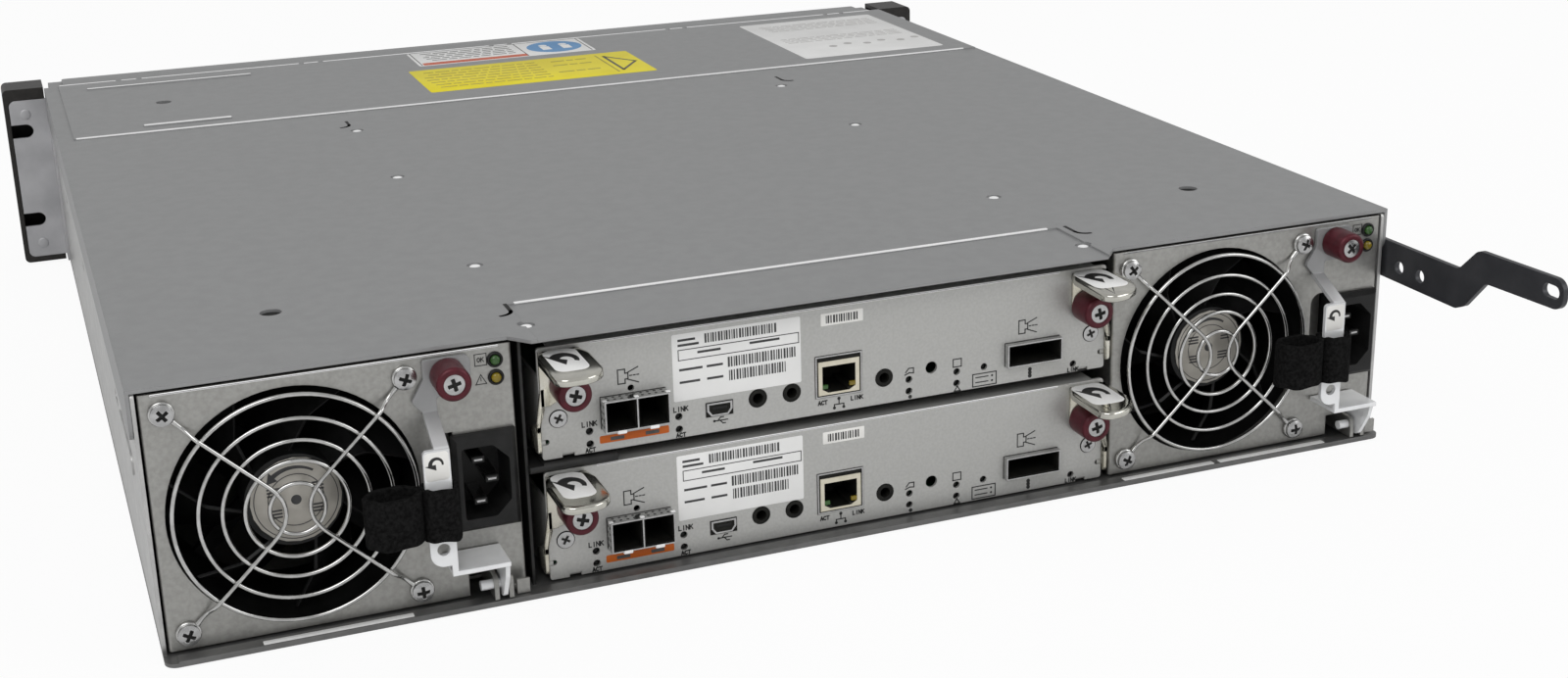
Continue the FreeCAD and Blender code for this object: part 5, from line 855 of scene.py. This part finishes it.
edgeHighlightLook = {"tall": 0.65, "corner": 0.35, "layers": ((0.0, -0.2), (0.0, 0.02), (0.2, 0.14)), "top": 0.08,
            "controllerEnds": (17.4, 185.6), "supplyEnds": (3.6, 107.6),
            "supplyFinishes": ("paintedHighlightWhite", "paintedHighlightSoft")}


def makeEdgeHighlight(name, body, start, top, length, finish):
    # painted highlight: a rounded strip of that length, down and right of its upper left corner as seen from
    # the rear
    start[2] = top - edgeHighlightLook["top"]
    corners = [(0, -edgeHighlightLook["tall"]), (length, -edgeHighlightLook["tall"]), (length, 0), (0, 0)]
    strip = slabSurface(start, onRear, roundedPolygon(corners, edgeHighlightLook["corner"]), edgeHighlightLook["layers"])
    makePiece(name + "_edgeHighlight", strip, finish, body, sharp=40)


left, right = edgeHighlightLook["controllerEnds"]
for place in controllers:
    body = place + "_controller"
    start, top = controllerPoint(place, left, 0), high(body + "_tray")[2]
    makeEdgeHighlight(place, body, start, top, right - left, "paintedHighlightWhite")
left, right = edgeHighlightLook["supplyEnds"]
for n, finish in zip(supplies, edgeHighlightLook["supplyFinishes"]):
    body = "psu_%d" % n
    makeEdgeHighlight(body, body, supplyPoint(n, left, 0), high(body + "_case")[2], right - left, finish)
print("face edges laid")

# port trim: painted shade in the perforations and as dark liners inside the openings of the cable cage,
# latches on it, the network socket's frame, lights and contacts, and the small port's rim

portLook = {"cageBox": (19.8, 7.5, 41.6, 18.3), "cageOut": 5.0, "cageDeep": 24.0,
            "holeStep": 2.3, "holeRows": (1.3, 3.3), "holeRadius": 0.5,
            "expansionBox": (164.5, 6.2, 185.7, 14.5), "expansionOut": 1.8, "expansionDeep": 12.0,
            "linerGap": 0.55, "linerWall": 0.25, "latchSize": (3.2, 1.3, 0.4), "springSize": (1.5, 0.4, 0.15),
            "latchLayers": ((0.25, 0.0), (0.0, 0.3), (0.0, 1.5), (0.25, 1.8)),
            "springLayers": ((0.1, 0.0), (0.0, 0.2), (0.0, 1.2), (0.1, 1.4)),
            "stripMarks": ((22.6, 3.1, 27.2, 4.3), (34.4, 3.1, 39.0, 4.3)),
            "networkBox": (93.9, 5.7, 110.7, 20.4), "lensSize": (2.3, 1.5, 0.25),
            "lensLayers": ((0.0, 0.0), (0.0, 0.55), (0.2, 0.8)), "contactStep": 1.02, "contactRadius": 0.18,
            "contactBends": ((-4.3, -1.6), (-5.4, -5.5), (-6.4, -10.5)),
            "holeInk": 0.03, "markInk": 0.04, "holeFrom": (1.6, 1.8), "holeCounts": (9, 4), "holeSides": 14,
            "shellWall": 0.15, "linerShort": 0.7, "latchBack": 1.6, "springBack": 1.9, "springIn": 0.3,
            "socketOuter": (1.0, 4.6, 2.0, 0.9, 0.9), "socketInner": (2.4, 4.6, 3.7, 2.9, 1.6),
            "socketLift": (0.02, 0.4), "lensPlace": (3.4, 3.7, -0.4), "contactCount": 8, "contactSides": 6,
            "smallBox": (55.4, 5.7, 64.4, 10.3), "rimLift": (0.1, 0.35), "coreLift": (0.05, 0.2),
            "tongueSize": (5.2, 0.9, 0.2), "tongueLayers": ((0.0, 0.0), (0.0, 0.12), (0.08, 0.18))}


def insetBox(box, inset):
    # the box outline, drawn in on all sides
    left, bottom, right, top = box
    return boxOutline(left + inset, bottom + inset, right - inset, top - inset)


def steppedBox(box, sides, feet, over, shoulder, foot):
    # six corners, from the left shoulder round to the left foot: sides, feet and over are drawn in from the
    # box's sides and top, and shoulder and foot are heights over its bottom
    left, bottom, right, top = box
    return [(left + sides, bottom + shoulder), (left + sides, top - over), (right - sides, top - over),
            (right - sides, bottom + shoulder), (right - feet, bottom + foot), (left + feet, bottom + foot)]


def makeCageTrim(place):
    # black discs of painted shade for the cage's holes, dark frames of painted shade carried inwards for the
    # liners, small stepped plates in painted highlight white for the latches
    body, look = place + "_controller", portLook
    left, bottom, right, top = look["cageBox"]
    out, step, half = look["cageOut"], look["holeStep"], (right - left) / 2
    hole = discOutline(0, 0, look["holeRadius"], look["holeSides"])
    places = []
    for k in range(look["holeCounts"][0]):
        x = left + look["holeFrom"][0] + step * k
        places += [(controllerPoint(place, x, top, row), onTop) for row in look["holeRows"]]
    for k in range(look["holeCounts"][1]):
        y = bottom + look["holeFrom"][1] + step * k
        places += [(controllerPoint(place, left, y, row), onSide) for row in look["holeRows"]]
    dots = [printSurface(*spot, hole, look["holeInk"]) for spot in places]
    makePiece(place + "_cageHoleShade", joined(dots), "printAndHoleShadeBlack", body)
    # each opening's box, how deep its liner starts and how far out it ends
    openings = [((a, bottom, a + half + look["shellWall"], top), look["cageDeep"], out - look["linerShort"])
                for a in (left, left + half)]
    openings.append((look["expansionBox"], look["expansionDeep"], look["expansionOut"]))
    gap = look["linerGap"]
    liners = []
    for box, deep, end in openings:
        edges = insetBox(box, gap), insetBox(box, gap + look["linerWall"])
        liners.append(frameSurface(controllerPoint(place, 0, 0, -deep), onRear, *edges, deep + end))
    makePiece(place + "_portShadeLiners", joined(liners), "portBlackAndShade", body)
    latches = []
    for k in (0.5, 1.5):
        foot = controllerPoint(place, left + half * k, bottom - 0.15, out - look["latchBack"])
        latches.append(plateSurface(foot, onRear, *look["latchSize"], look["latchLayers"]))
    for x in (left + look["springIn"], left + half, right - look["springIn"]):
        foot = controllerPoint(place, x, top + 0.05, out - look["springBack"])
        latches.append(plateSurface(foot, onRear, *look["springSize"], look["springLayers"]))
    makePiece(place + "_cageLatches", joined(latches), "paintedHighlightWhite", body)
    onStrip = controllerPoint(place, 0, 0, controllerLook["labelThick"])
    marks = printAll(onStrip, onRear, [boxOutline(*box) for box in look["stripMarks"]], look["markInk"])
    makePiece(place + "_stripMarks", joined(marks), "printGrey", body)


def makeSocketTrim(place):
    # a frame between two stepped outlines, a lens in each lower corner, and bent wires a step apart
    body, look, box = place + "_controller", portLook, portLook["networkBox"]
    left, bottom, right, top = box
    outer, inner = steppedBox(box, *look["socketOuter"]), steppedBox(box, *look["socketInner"])
    foot, thick = look["socketLift"]
    socket = frameSurface(controllerPoint(place, 0, 0, foot), onRear, outer, inner, thick)
    makePiece(place + "_socketFrame", socket, "portCream", body)
    inwards, up, out = look["lensPlace"]
    for name, x, finish in (("left", left + inwards, "lensGreen"), ("right", right - inwards, "lensAmber")):
        centre = controllerPoint(place, x, bottom + up, out)
        lens = plateSurface(centre, onRear, *look["lensSize"], look["lensLayers"])
        makePiece("%s_%sPortLight" % (place, name), lens, finish, body)
    contacts = []
    for k in range(look["contactCount"]):
        x = (left + right) / 2 + (k - (look["contactCount"] - 1) / 2) * look["contactStep"]
        path = [controllerPoint(place, x, top + down, deep) for down, deep in look["contactBends"]]
        contacts.append(wireSurface(path, look["contactRadius"], look["contactSides"]))
    makePiece(place + "_socketContacts", joined(contacts), "contactGold", body)


def makeSmallPortTrim(place):
    # a rim between two outlines with cut lower corners, a core a little larger than the port, and a tongue
    body, look = place + "_controller", portLook
    left, bottom, right, top = look["smallBox"]
    outer = [(left + 1.6, bottom), (right - 1.6, bottom), (right - 0.1, bottom + 1.9), (right - 0.1, top),
             (left + 0.1, top), (left + 0.1, bottom + 1.9)]
    inner = [(left + 1.9, bottom + 0.6), (right - 1.9, bottom + 0.6), (right - 0.8, bottom + 2.1),
             (right - 0.8, top - 0.6), (left + 0.8, top - 0.6), (left + 0.8, bottom + 2.1)]
    foot, thick = look["rimLift"]
    rim = frameSurface(controllerPoint(place, 0, 0, foot), onRear, outer, inner, thick)
    makePiece(place + "_smallPortRim", rim, "screwSteel", body)
    foot, thick = look["coreLift"]
    core = printSurface(controllerPoint(place, 0, 0, foot), onRear, insetBox(look["smallBox"], -0.2), thick)
    makePiece(place + "_smallPortCore", core, "portBlackAndShade", body)
    centre = controllerPoint(place, (left + right) / 2, (bottom + top) / 2 + 0.4, 0.2)
    tongue = plateSurface(centre, onRear, *look["tongueSize"], look["tongueLayers"])
    makePiece(place + "_smallPortTongue", tongue, "mouldedBlack", body)


for place in controllers:
    makeCageTrim(place)
    makeSocketTrim(place)
    makeSmallPortTrim(place)
print("ports trimmed")

# levers: a screw plate on the face, a jogged arm down the side, and a finger tab with a turned-down rim

leverLook = {"sheet": 1.2, "faceGap": 0.2, "plateTop": 36.8, "plateWidth": 13.6, "jogLow": 12.0,
             "jogTop": 18.5, "armLow": 2.6, "armOut": 0.4, "armDepth": 9.0, "armRise": 8.6,
             "thumb": (8.8, 24.6), "tabReach": 28.5, "neck": 6.5, "rim": 2.6,
             "tabSpan": {"left": (-1.2, 15.5), "right": (-0.6, 16.2)},
             "tabRadii": {"left": (4.2, 8.4), "right": (12.5, 4.2)},    # outer and inner corner
             "labelCorner": 3.4, "labelThick": 0.1, "arrow": (0, 0, 3.4, 3.2, -25, 145, 6.4),
             "arrowStretch": 1.4, "ink": 0.04}


def makeLever(place, side):
    # plate, jog, arm and tab are rounded polygons carried through the sheet's layers; a right-hand lever
    # counts its distances inwards from the face's right edge
    node, body = "%s_controller_%s_lever" % (place, side), "%s_%s_lever" % (place, side)
    look = leverLook
    board = "%s_controller_board" % place
    faceWidth = high(board)[0] - low(board)[0] + 4.4
    origin = controllerPoint(place, 0, 0)
    thick, gap, out, wide = look["sheet"], look["faceGap"], look["armOut"], look["plateWidth"]
    jogLow, jogTop, plateTop = look["jogLow"], look["jogTop"], look["plateTop"]

    def placed(points):
        # distances inwards from the lever's own edge become distances from the face's left edge
        return [(i if side == "left" else faceWidth - i, k) for i, k in points]

    layers = [(0.12, 0.0), (0.0, 0.12), (0.0, thick - 0.12), (0.12, thick)]
    thumbIn, thumbUp = look["thumb"]
    corners = [(0.2, jogTop), (3.0, jogTop), (thumbIn, thumbUp - 3.5), (wide, thumbUp),
               (wide, plateTop - 0.6), (0.2, plateTop - 0.6)]
    outline = roundedPolygon(placed(corners), [0.3, 1.0, 2.0, 2.0, 0.1, 0.1])
    plate = slabSurface(origin + (0, gap, 0), onRear, outline, layers)
    edge = -out - thick
    corners = [(0.3, jogTop + 6), (edge, jogLow + 1), (edge, jogLow - 2), (-out, jogLow - 2), (-out, jogLow),
               (1.4, jogTop - 1), (1.4, jogTop + 6)]
    jog = slabSurface(origin + (0, gap, 0), onRear, roundedPolygon(placed(corners), 0.1), layers)
    far, armLow, armDeep = gap + thick, look["armLow"], -look["armDepth"]
    corners = [(far, armLow), (far, jogLow), (-2.0, jogLow), (armDeep, look["armRise"]), (armDeep, armLow)]
    armX = origin[0] + out if side == "left" else origin[0] - faceWidth + edge
    outline = roundedPolygon(corners, [1.5, 0.1, 2.0, 2.0, 1.9])
    arm = slabSurface((armX, origin[1], origin[2]), onSide, outline, layers)
    makePiece(node + "_arm", joined([plate, jog, arm]), "leverCream", body, [node], 50)
    outer, inner = look["tabSpan"][side]
    outerRadius, innerRadius = look["tabRadii"][side]
    reach, neck, rim = -look["tabReach"], -gap - look["neck"], look["rim"]
    corners = [(0.25, -gap), (wide, -gap), (inner, neck), (inner, reach), (outer, reach), (outer, neck)]
    outline = roundedPolygon(placed(corners), [0.1, 0.1, 3.0, innerRadius, outerRadius, 3.0], 10)
    tabLayers = [(1.7, 0.0), (0.9, -0.04), (0.4, -0.2), (0.1, -0.55), (0.0, -1.0), (0.0, -rim + 0.3),
                 (0.3, -rim), (0.9, -rim), (1.2, -rim + 0.3), (1.2, -thick)]
    top = origin + (0, 0, plateTop)
    makePiece(node + "_tab", slabSurface(top, onTop, outline, tabLayers), "tabSteel", body, [node], 50)
    box = (1.0, -21.5, 11.9, -0.9) if side == "left" else (faceWidth - 14.6, -20.5, faceWidth - 1.9, -0.9)
    sheet = labelPlate(top, onTop, box, look["labelCorner"], look["labelThick"])
    makePiece(node + "_label", sheet, "labelBright", body)
    centre = ((box[0] + box[2]) / 2, (box[1] + box[3]) / 2)
    arrow = turnArrowOutline(*look["arrow"]) * (1.0, look["arrowStretch"]) + centre
    ink = printSurface(top + (0, 0, look["labelThick"]), onTop, arrow, look["ink"])
    makePiece(node + "_arrow", ink, "printAndHoleShadeBlack", body)


for place in controllers:
    for side in ("left", "right"):
        makeLever(place, side)
print("levers made")

# labels on the cover: left, right, front and rear of each sheet, and what is printed on it

coverLook = {"sheets": (("paleSheet", "labelWhite", -209, -133, 14, 111),
                        ("yellowSheet", "labelYellow", -58, 54, 49, 102),
                        ("plateSheet", "labelWhite", -45.5, 46, 5.4, 39)),
             "corner": 1.5, "thick": 0.1, "print": 0.04}


def surfaceHeight(node, x, y):
    # highest point of the node's mesh straight below (x, y)
    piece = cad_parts[node]
    piece.data.calc_loop_triangles()
    points = [piece.matrix_world @ v.co for v in piece.data.vertices]
    tree = BVHTree.FromPolygons(points, [list(t.vertices) for t in piece.data.loop_triangles])
    hit = tree.ray_cast(Vector((x * mm, y * mm, 1.0)), Vector((0, 0, -1)))[0]
    return hit.z / mm


def lineBars(left, right, first, step, count, height, seed):
    # rows of short bars in place of words: lengths and gaps step round the golden ratio
    outlines = []
    for row in range(count):
        x, y, k = left, first + step * row, seed + 5 * row
        while x < right - 3:
            long = min(2.5 + 5.5 * ((k * 0.618) % 1), right - x)
            outlines.append(boxOutline(x, y, x + long, y + height))
            x += long + 1.1
            k += 1
    return outlines


coverTop = {}
for name, finish, x1, x2, y1, y2 in coverLook["sheets"]:
    coverTop[name] = max(surfaceHeight("top_cover", x, y) for x in (x1 + 2, x2 - 2) for y in (y1 + 2, y2 - 2))
    centre = ((x1 + x2) / 2, (y1 + y2) / 2, coverTop[name])
    layers = labelLayers(coverLook["thick"])
    sheet = plateSurface(centre, onTop, x2 - x1, y2 - y1, coverLook["corner"], layers)
    makePiece("cover_" + name, sheet, finish, "chassis")
coverTop["plateDisc"] = coverTop["plateSheet"] + 0.03

paleSpots = [discOutline(-205 + 9.5 * k, 84 + 3.5 * (k % 2), 2.2) for k in range(6)]
paleBars = lineBars(-204, -139, 24.0, 3.4, 5, 1.0, 2) + lineBars(-204, -139, 60.0, 3.4, 4, 1.0, 27)
yellowBars = lineBars(-8, 50, 56.0, 6.0, 7, 1.3, 4)
for row, y in enumerate((58.0, 68.0, 84.0)):
    yellowBars += lineBars(-34, -12, y, 0.0, 1, 1.6, 9 + 5 * row)
plateRules = [boxOutline(x, 5, x + 0.5, 38) for x in (-10.4, 44.2, -43.9)]
figures = []
for x, left, right in ((-33.5, -36.2, -31.4), (-23, -25.4, -20.6)):
    figures += [discOutline(x, 16.5, 2.2), boxOutline(left, 19, right, 27.5)]
coverPrints = (
    ("palePrint", "printPale", "paleSheet", paleBars + paleSpots),
    ("yellowPrint", "printOlive", "yellowSheet", yellowBars + [boxOutline(-40.5, 54, -39.7, 97)]),
    ("yellowTriangle", "printGrey", "yellowSheet",
     strokeOutlines([[(-43.5, 58), (-43.5, 93), (-55.0, 75.5), (-43.5, 58)]], 1.4)),
    ("plateBand", "labelRed", "plateSheet", [boxOutline(-10, 32.5, 43.5, 38.0)]),
    ("plateDisc", "labelBlue", "plateSheet", [discOutline(-28, 21, 14.2, 56)]),
    ("platePrint", "labelInk", "plateSheet", lineBars(-6, 40, 9.0, 4.4, 5, 1.1, 3) + plateRules),
    ("plateFigures", "labelWhite", "plateDisc", figures),
)
for name, finish, sheet, outlines in coverPrints:
    inks = printAll((0, 0, coverTop[sheet] + coverLook["thick"]), onPlan, outlines, coverLook["print"])
    makePiece("cover_" + name, joined(inks), finish, "chassis")
print("cover labels made")

# folded front lip, ear studs, and on the cover painted highlights along its pressed lines, rivets in painted
# highlight white, and painted shade in its holes, notches and slits

frontLook = {"lipMiddle": -8.2, "lipSize": (426.0, 18.6, 1.5),
             "lipLayers": ((0.0, 0.0), (0.0, 1.0), (0.15, 1.25), (0.4, 1.35)),
             "studX": (232.0, -232.0), "studZ": (75.0, 10.0), "studRadius": 2.6, "studTall": 0.5}
trimLook = {"lineLayers": ((0.0, -0.3), (0.0, 0.02), (0.2, 0.16)),
            # painted highlights along the pressed lines: left, right, place along Y and width
            "lines": ((214.5, -214.5, 122.4, 1.3), (98.0, -98.0, 426.4, 1.3), (203.0, 126.0, 18.7, 1.3),
                      (185.0, 147.0, 111.4, 2.4), (-150.0, -205.0, 18.7, 0.8)),
            "edgeEnd": 215.0, "edgeY": 2.7, "edgeWide": 0.9, "edgeGap": 1.2,
            "notches": (182.5, 94.0, -4.0, -101.0, -193.0), "notchGap": 9.6, "notchWide": 1.8,
            "notchSpan": (2.05, 4.6), "notchDepth": 86.4,
            "rivetRadius": 1.9, "rivetRise": 0.55, "rivetFoot": -0.2, "rivetX": (99.7, -100.3),
            "rivetFromFace": (9.5, 78.0, 210.0, 298.0), "holeX": (172.0, -172.0), "holeFront": 64.0,
            "holeFromFace": 56.0, "holeRadius": 3.45, "holeDepth": 86.15, "hooks": ((105.0, 1), (-109.0, -1)),
            "hookFromFace": (24.0, 310.0), "hookRadius": 4.0, "hookLong": 7.0, "hookWide": 1.3}


def makeFrontLip():
    # folded sheet over the cage in front of the cover: a rounded plate with softened upper edges
    centre = (0, frontLook["lipMiddle"], high("drive_cage")[2] + 0.02)
    lip = plateSurface(centre, onPlan, *frontLook["lipSize"], frontLook["lipLayers"])
    makePiece("chassis_frontLip", lip, "coverGrey", "chassis", sharp=40)


def makeEarStuds():
    # low domes pressed into the ears' rear faces: radius r cos(a), height h sin(a)
    r, tall = frontLook["studRadius"], frontLook["studTall"]
    arc = np.linspace(0, np.pi / 2, 7)
    profile = [(r, -0.3)] + [(max(r * math.cos(a), 0.02), tall * math.sin(a)) for a in arc]
    studs = [turnedSurface((x, 0.0, z), profile, 32) for x in frontLook["studX"] for z in frontLook["studZ"]]
    makePiece("ear_studs", joined(studs), "earSteel", "chassis", sharp=60)


def makeCoverTrim():
    # painted highlights: rounded strips at the cover's height; rivets: rings of radius r cos(a) at height h
    # sin(a), in painted highlight white; painted shade: dark flat discs, boxes and hooks just under or on the
    # cover, in its holes, notches and hook slits
    look = trimLook
    gap = look["notchGap"] / 2
    reach = gap + look["edgeGap"]
    ends = [x + side * reach for x in look["notches"] for side in (1, -1)]
    ends = [look["edgeEnd"], *ends, -look["edgeEnd"]]
    runs = list(zip(ends[::2], ends[1::2]))
    runs += [(x + gap - look["edgeGap"], x - gap + look["edgeGap"]) for x in look["notches"]]
    strips = []
    for x1, x2, y, wide in [*look["lines"], *((a, b, look["edgeY"], look["edgeWide"]) for a, b in runs)]:
        height = surfaceHeight("top_cover", x1 * 0.5 + x2 * 0.5, y)
        outline = roundedOutline(abs(x2 - x1), wide, min(0.3, wide / 3), 4)
        strips.append(slabSurface(((x1 + x2) / 2, y, height), onPlan, outline, look["lineLayers"]))
    makePiece("cover_highlightLines", joined(strips), "paintedHighlightWhite", "chassis")
    domes = []
    arc = np.linspace(0, np.pi / 2, 8)
    radii = look["rivetRadius"] * np.array([1.0, *np.maximum(np.cos(arc), 0.02)])
    rises = [look["rivetFoot"], *(look["rivetRise"] * np.sin(arc))]
    for x in look["rivetX"]:
        for back in look["rivetFromFace"]:
            base = surfaceHeight("top_cover", x, faceY - back)
            rings = [(discOutline(0, 0, r, 28), rise) for r, rise in zip(radii, rises)]
            domes.append(gridSurface(stackedRings((x, faceY - back, base), onPlan, rings)))
    makePiece("cover_rivets", joined(domes), "paintedHighlightWhite", "chassis", sharp=60)
    shadeMarks = []
    for x in look["holeX"]:
        for y in (look["holeFront"], faceY - look["holeFromFace"]):
            hole = discOutline(0, 0, look["holeRadius"], 40)
            shadeMarks.append(printSurface((x, y, look["holeDepth"]), onPlan, hole, 0.2))
    front, back = look["notchSpan"]
    half = look["notchWide"] / 2
    notchSides = [x + side * gap for x in look["notches"] for side in (1, -1)]
    slots = [boxOutline(a - half, front, a + half, back) for a in notchSides]
    shadeMarks += printAll((0, 0, look["notchDepth"]), onPlan, slots, 0.2)
    r = look["hookRadius"]
    for x, side in look["hooks"]:
        for back in look["hookFromFace"]:
            y = faceY - back
            hook = [(x - side * r * math.sin(t), y + r * math.cos(t)) for t in np.linspace(0, np.pi / 2, 9)]
            hook.append((x - side * r, y - look["hookLong"]))
            height = surfaceHeight("top_cover", x + side * 6, y + 4)
            shadeMarks += printAll((0, 0, height), onPlan, strokeOutlines([hook], look["hookWide"]), 0.05)
    makePiece("cover_holeShade", joined(shadeMarks), "paintedRecessShade", "chassis")


makeFrontLip()
makeEarStuds()
makeCoverTrim()
print("cover trim made")

# labels on the floor's rear edge

floorLook = {"sheets": (("floorSheet_1", 145.1, 191.5), ("floorSheet_2", -148.1, -110.5),
                        ("floorSheet_3", -196.0, -150.5)),
             "y": 463.1, "wide": 2.6, "corner": 0.4, "thick": 0.1}
for name, x1, x2 in floorLook["sheets"]:
    height = surfaceHeight("chassis_tray", (x1 + x2) / 2, floorLook["y"] + 0.3)
    centre = ((x1 + x2) / 2, floorLook["y"], height)
    layers = labelLayers(floorLook["thick"])
    sheet = plateSurface(centre, onTop, x2 - x1, floorLook["wide"], floorLook["corner"], layers)
    makePiece("chassis_" + name, sheet, "labelWhite", "chassis")
print("labels made")


# floor, light and camera

stageLook = {"floorColor": (0.88, 0.88, 0.88), "floorGlow": 0.93, "floorSize": 4.0, "floorBelow": -0.0005,
             "worldColor": (1.0, 1.0, 1.0), "worldLight": 0.55, "lens": 47.338, "sensor": 36.0,
             "cameraPlace": (245.67, 1053.33, 296.63), "cameraTurn": (71.695, 1.0716, 157.7152),
             "shift": (-0.018136, -0.024357), "clip": (0.02, 50),
             # place, target, size and power
             "lamps": {"keyLamp": ((0.9, 1.6, 1.7), (0, 0.25, 0.05), (1.6, 1.2), 16.0),
                       "fillLamp": ((-1.5, 1.5, 0.9), (0, 0.4, 0.05), (1.2, 1.0), 7.0)}}


def makeStage(look):
    # a pale square under the part, white to the camera
    mesh = bpy.data.meshes.new("floor")
    size = look["floorSize"]
    corners = [(x, y, look["floorBelow"]) for x, y in boxOutline(-size, -size, size, size)]
    mesh.from_pydata(corners, [], [(0, 1, 2, 3)])
    floor = bpy.data.objects.new("floor", mesh)
    bpy.context.scene.collection.objects.link(floor)
    material = bpy.data.materials.new("floorPale")
    material.use_nodes = True
    tree = material.node_tree
    shader = tree.nodes["Principled BSDF"]
    shader.inputs["Base Color"].default_value = (*look["floorColor"], 1)
    shader.inputs["Roughness"].default_value = 0.9
    glow = addNode(tree, "Emission")
    mix = addNode(tree, "MixShader")
    path = addNode(tree, "LightPath")
    share = addNode(tree, "Math", {1: look["floorGlow"]})
    share.operation = "MULTIPLY"
    linkAll(tree, [(path, "Is Camera Ray", share, 0), (share, 0, mix, "Fac"), (shader, 0, mix, 1),
                   (glow, 0, mix, 2), (mix, 0, tree.nodes["Material Output"], "Surface")])
    mesh.materials.append(material)


def makeWorld(look):
    # an even light level for surfaces, white for camera and transmission rays
    world = bpy.data.worlds.new("studio")
    bpy.context.scene.world = world
    world.use_nodes = True
    tree = world.node_tree
    background = tree.nodes["Background"]
    background.inputs["Color"].default_value = (*look["worldColor"], 1)
    path = addNode(tree, "LightPath")
    anyRay = addNode(tree, "Math")
    anyRay.operation = "MAXIMUM"
    level = addNode(tree, "MapRange", {"To Min": look["worldLight"], "To Max": 1.0})
    linkAll(tree, [(path, "Is Camera Ray", anyRay, 0), (path, "Is Transmission Ray", anyRay, 1),
                   (anyRay, 0, level, "Value"), (level, "Result", background, "Strength")])


def makeLamp(name, place, target, size, power):
    # square soft lamp aimed at a point
    light = bpy.data.lights.new(name, "AREA")
    light.shape = "RECTANGLE"
    light.size, light.size_y = size
    light.energy = power
    lamp = bpy.data.objects.new(name, light)
    lamp.location = place
    lamp.rotation_euler = (Vector(target) - Vector(place)).to_track_quat("-Z", "Y").to_euler()
    bpy.context.scene.collection.objects.link(lamp)


def makeCamera(look):
    # place in millimetres, turn in degrees
    camera = bpy.data.objects.new("camera", bpy.data.cameras.new("camera"))
    camera.data.sensor_width = look["sensor"]
    camera.data.lens = look["lens"]
    camera.data.shift_x, camera.data.shift_y = look["shift"]
    camera.data.clip_start, camera.data.clip_end = look["clip"]
    camera.location = Vector(look["cameraPlace"]) * mm
    camera.rotation_euler = Euler([math.radians(a) for a in look["cameraTurn"]])
    bpy.context.scene.collection.objects.link(camera)
    bpy.context.scene.camera = camera


makeStage(stageLook)
makeWorld(stageLook)
for name, settings in stageLook["lamps"].items():
    makeLamp(name, *settings)
makeCamera(stageLook)
bpy.context.scene.view_settings.view_transform = "Standard"

print("all pieces made")
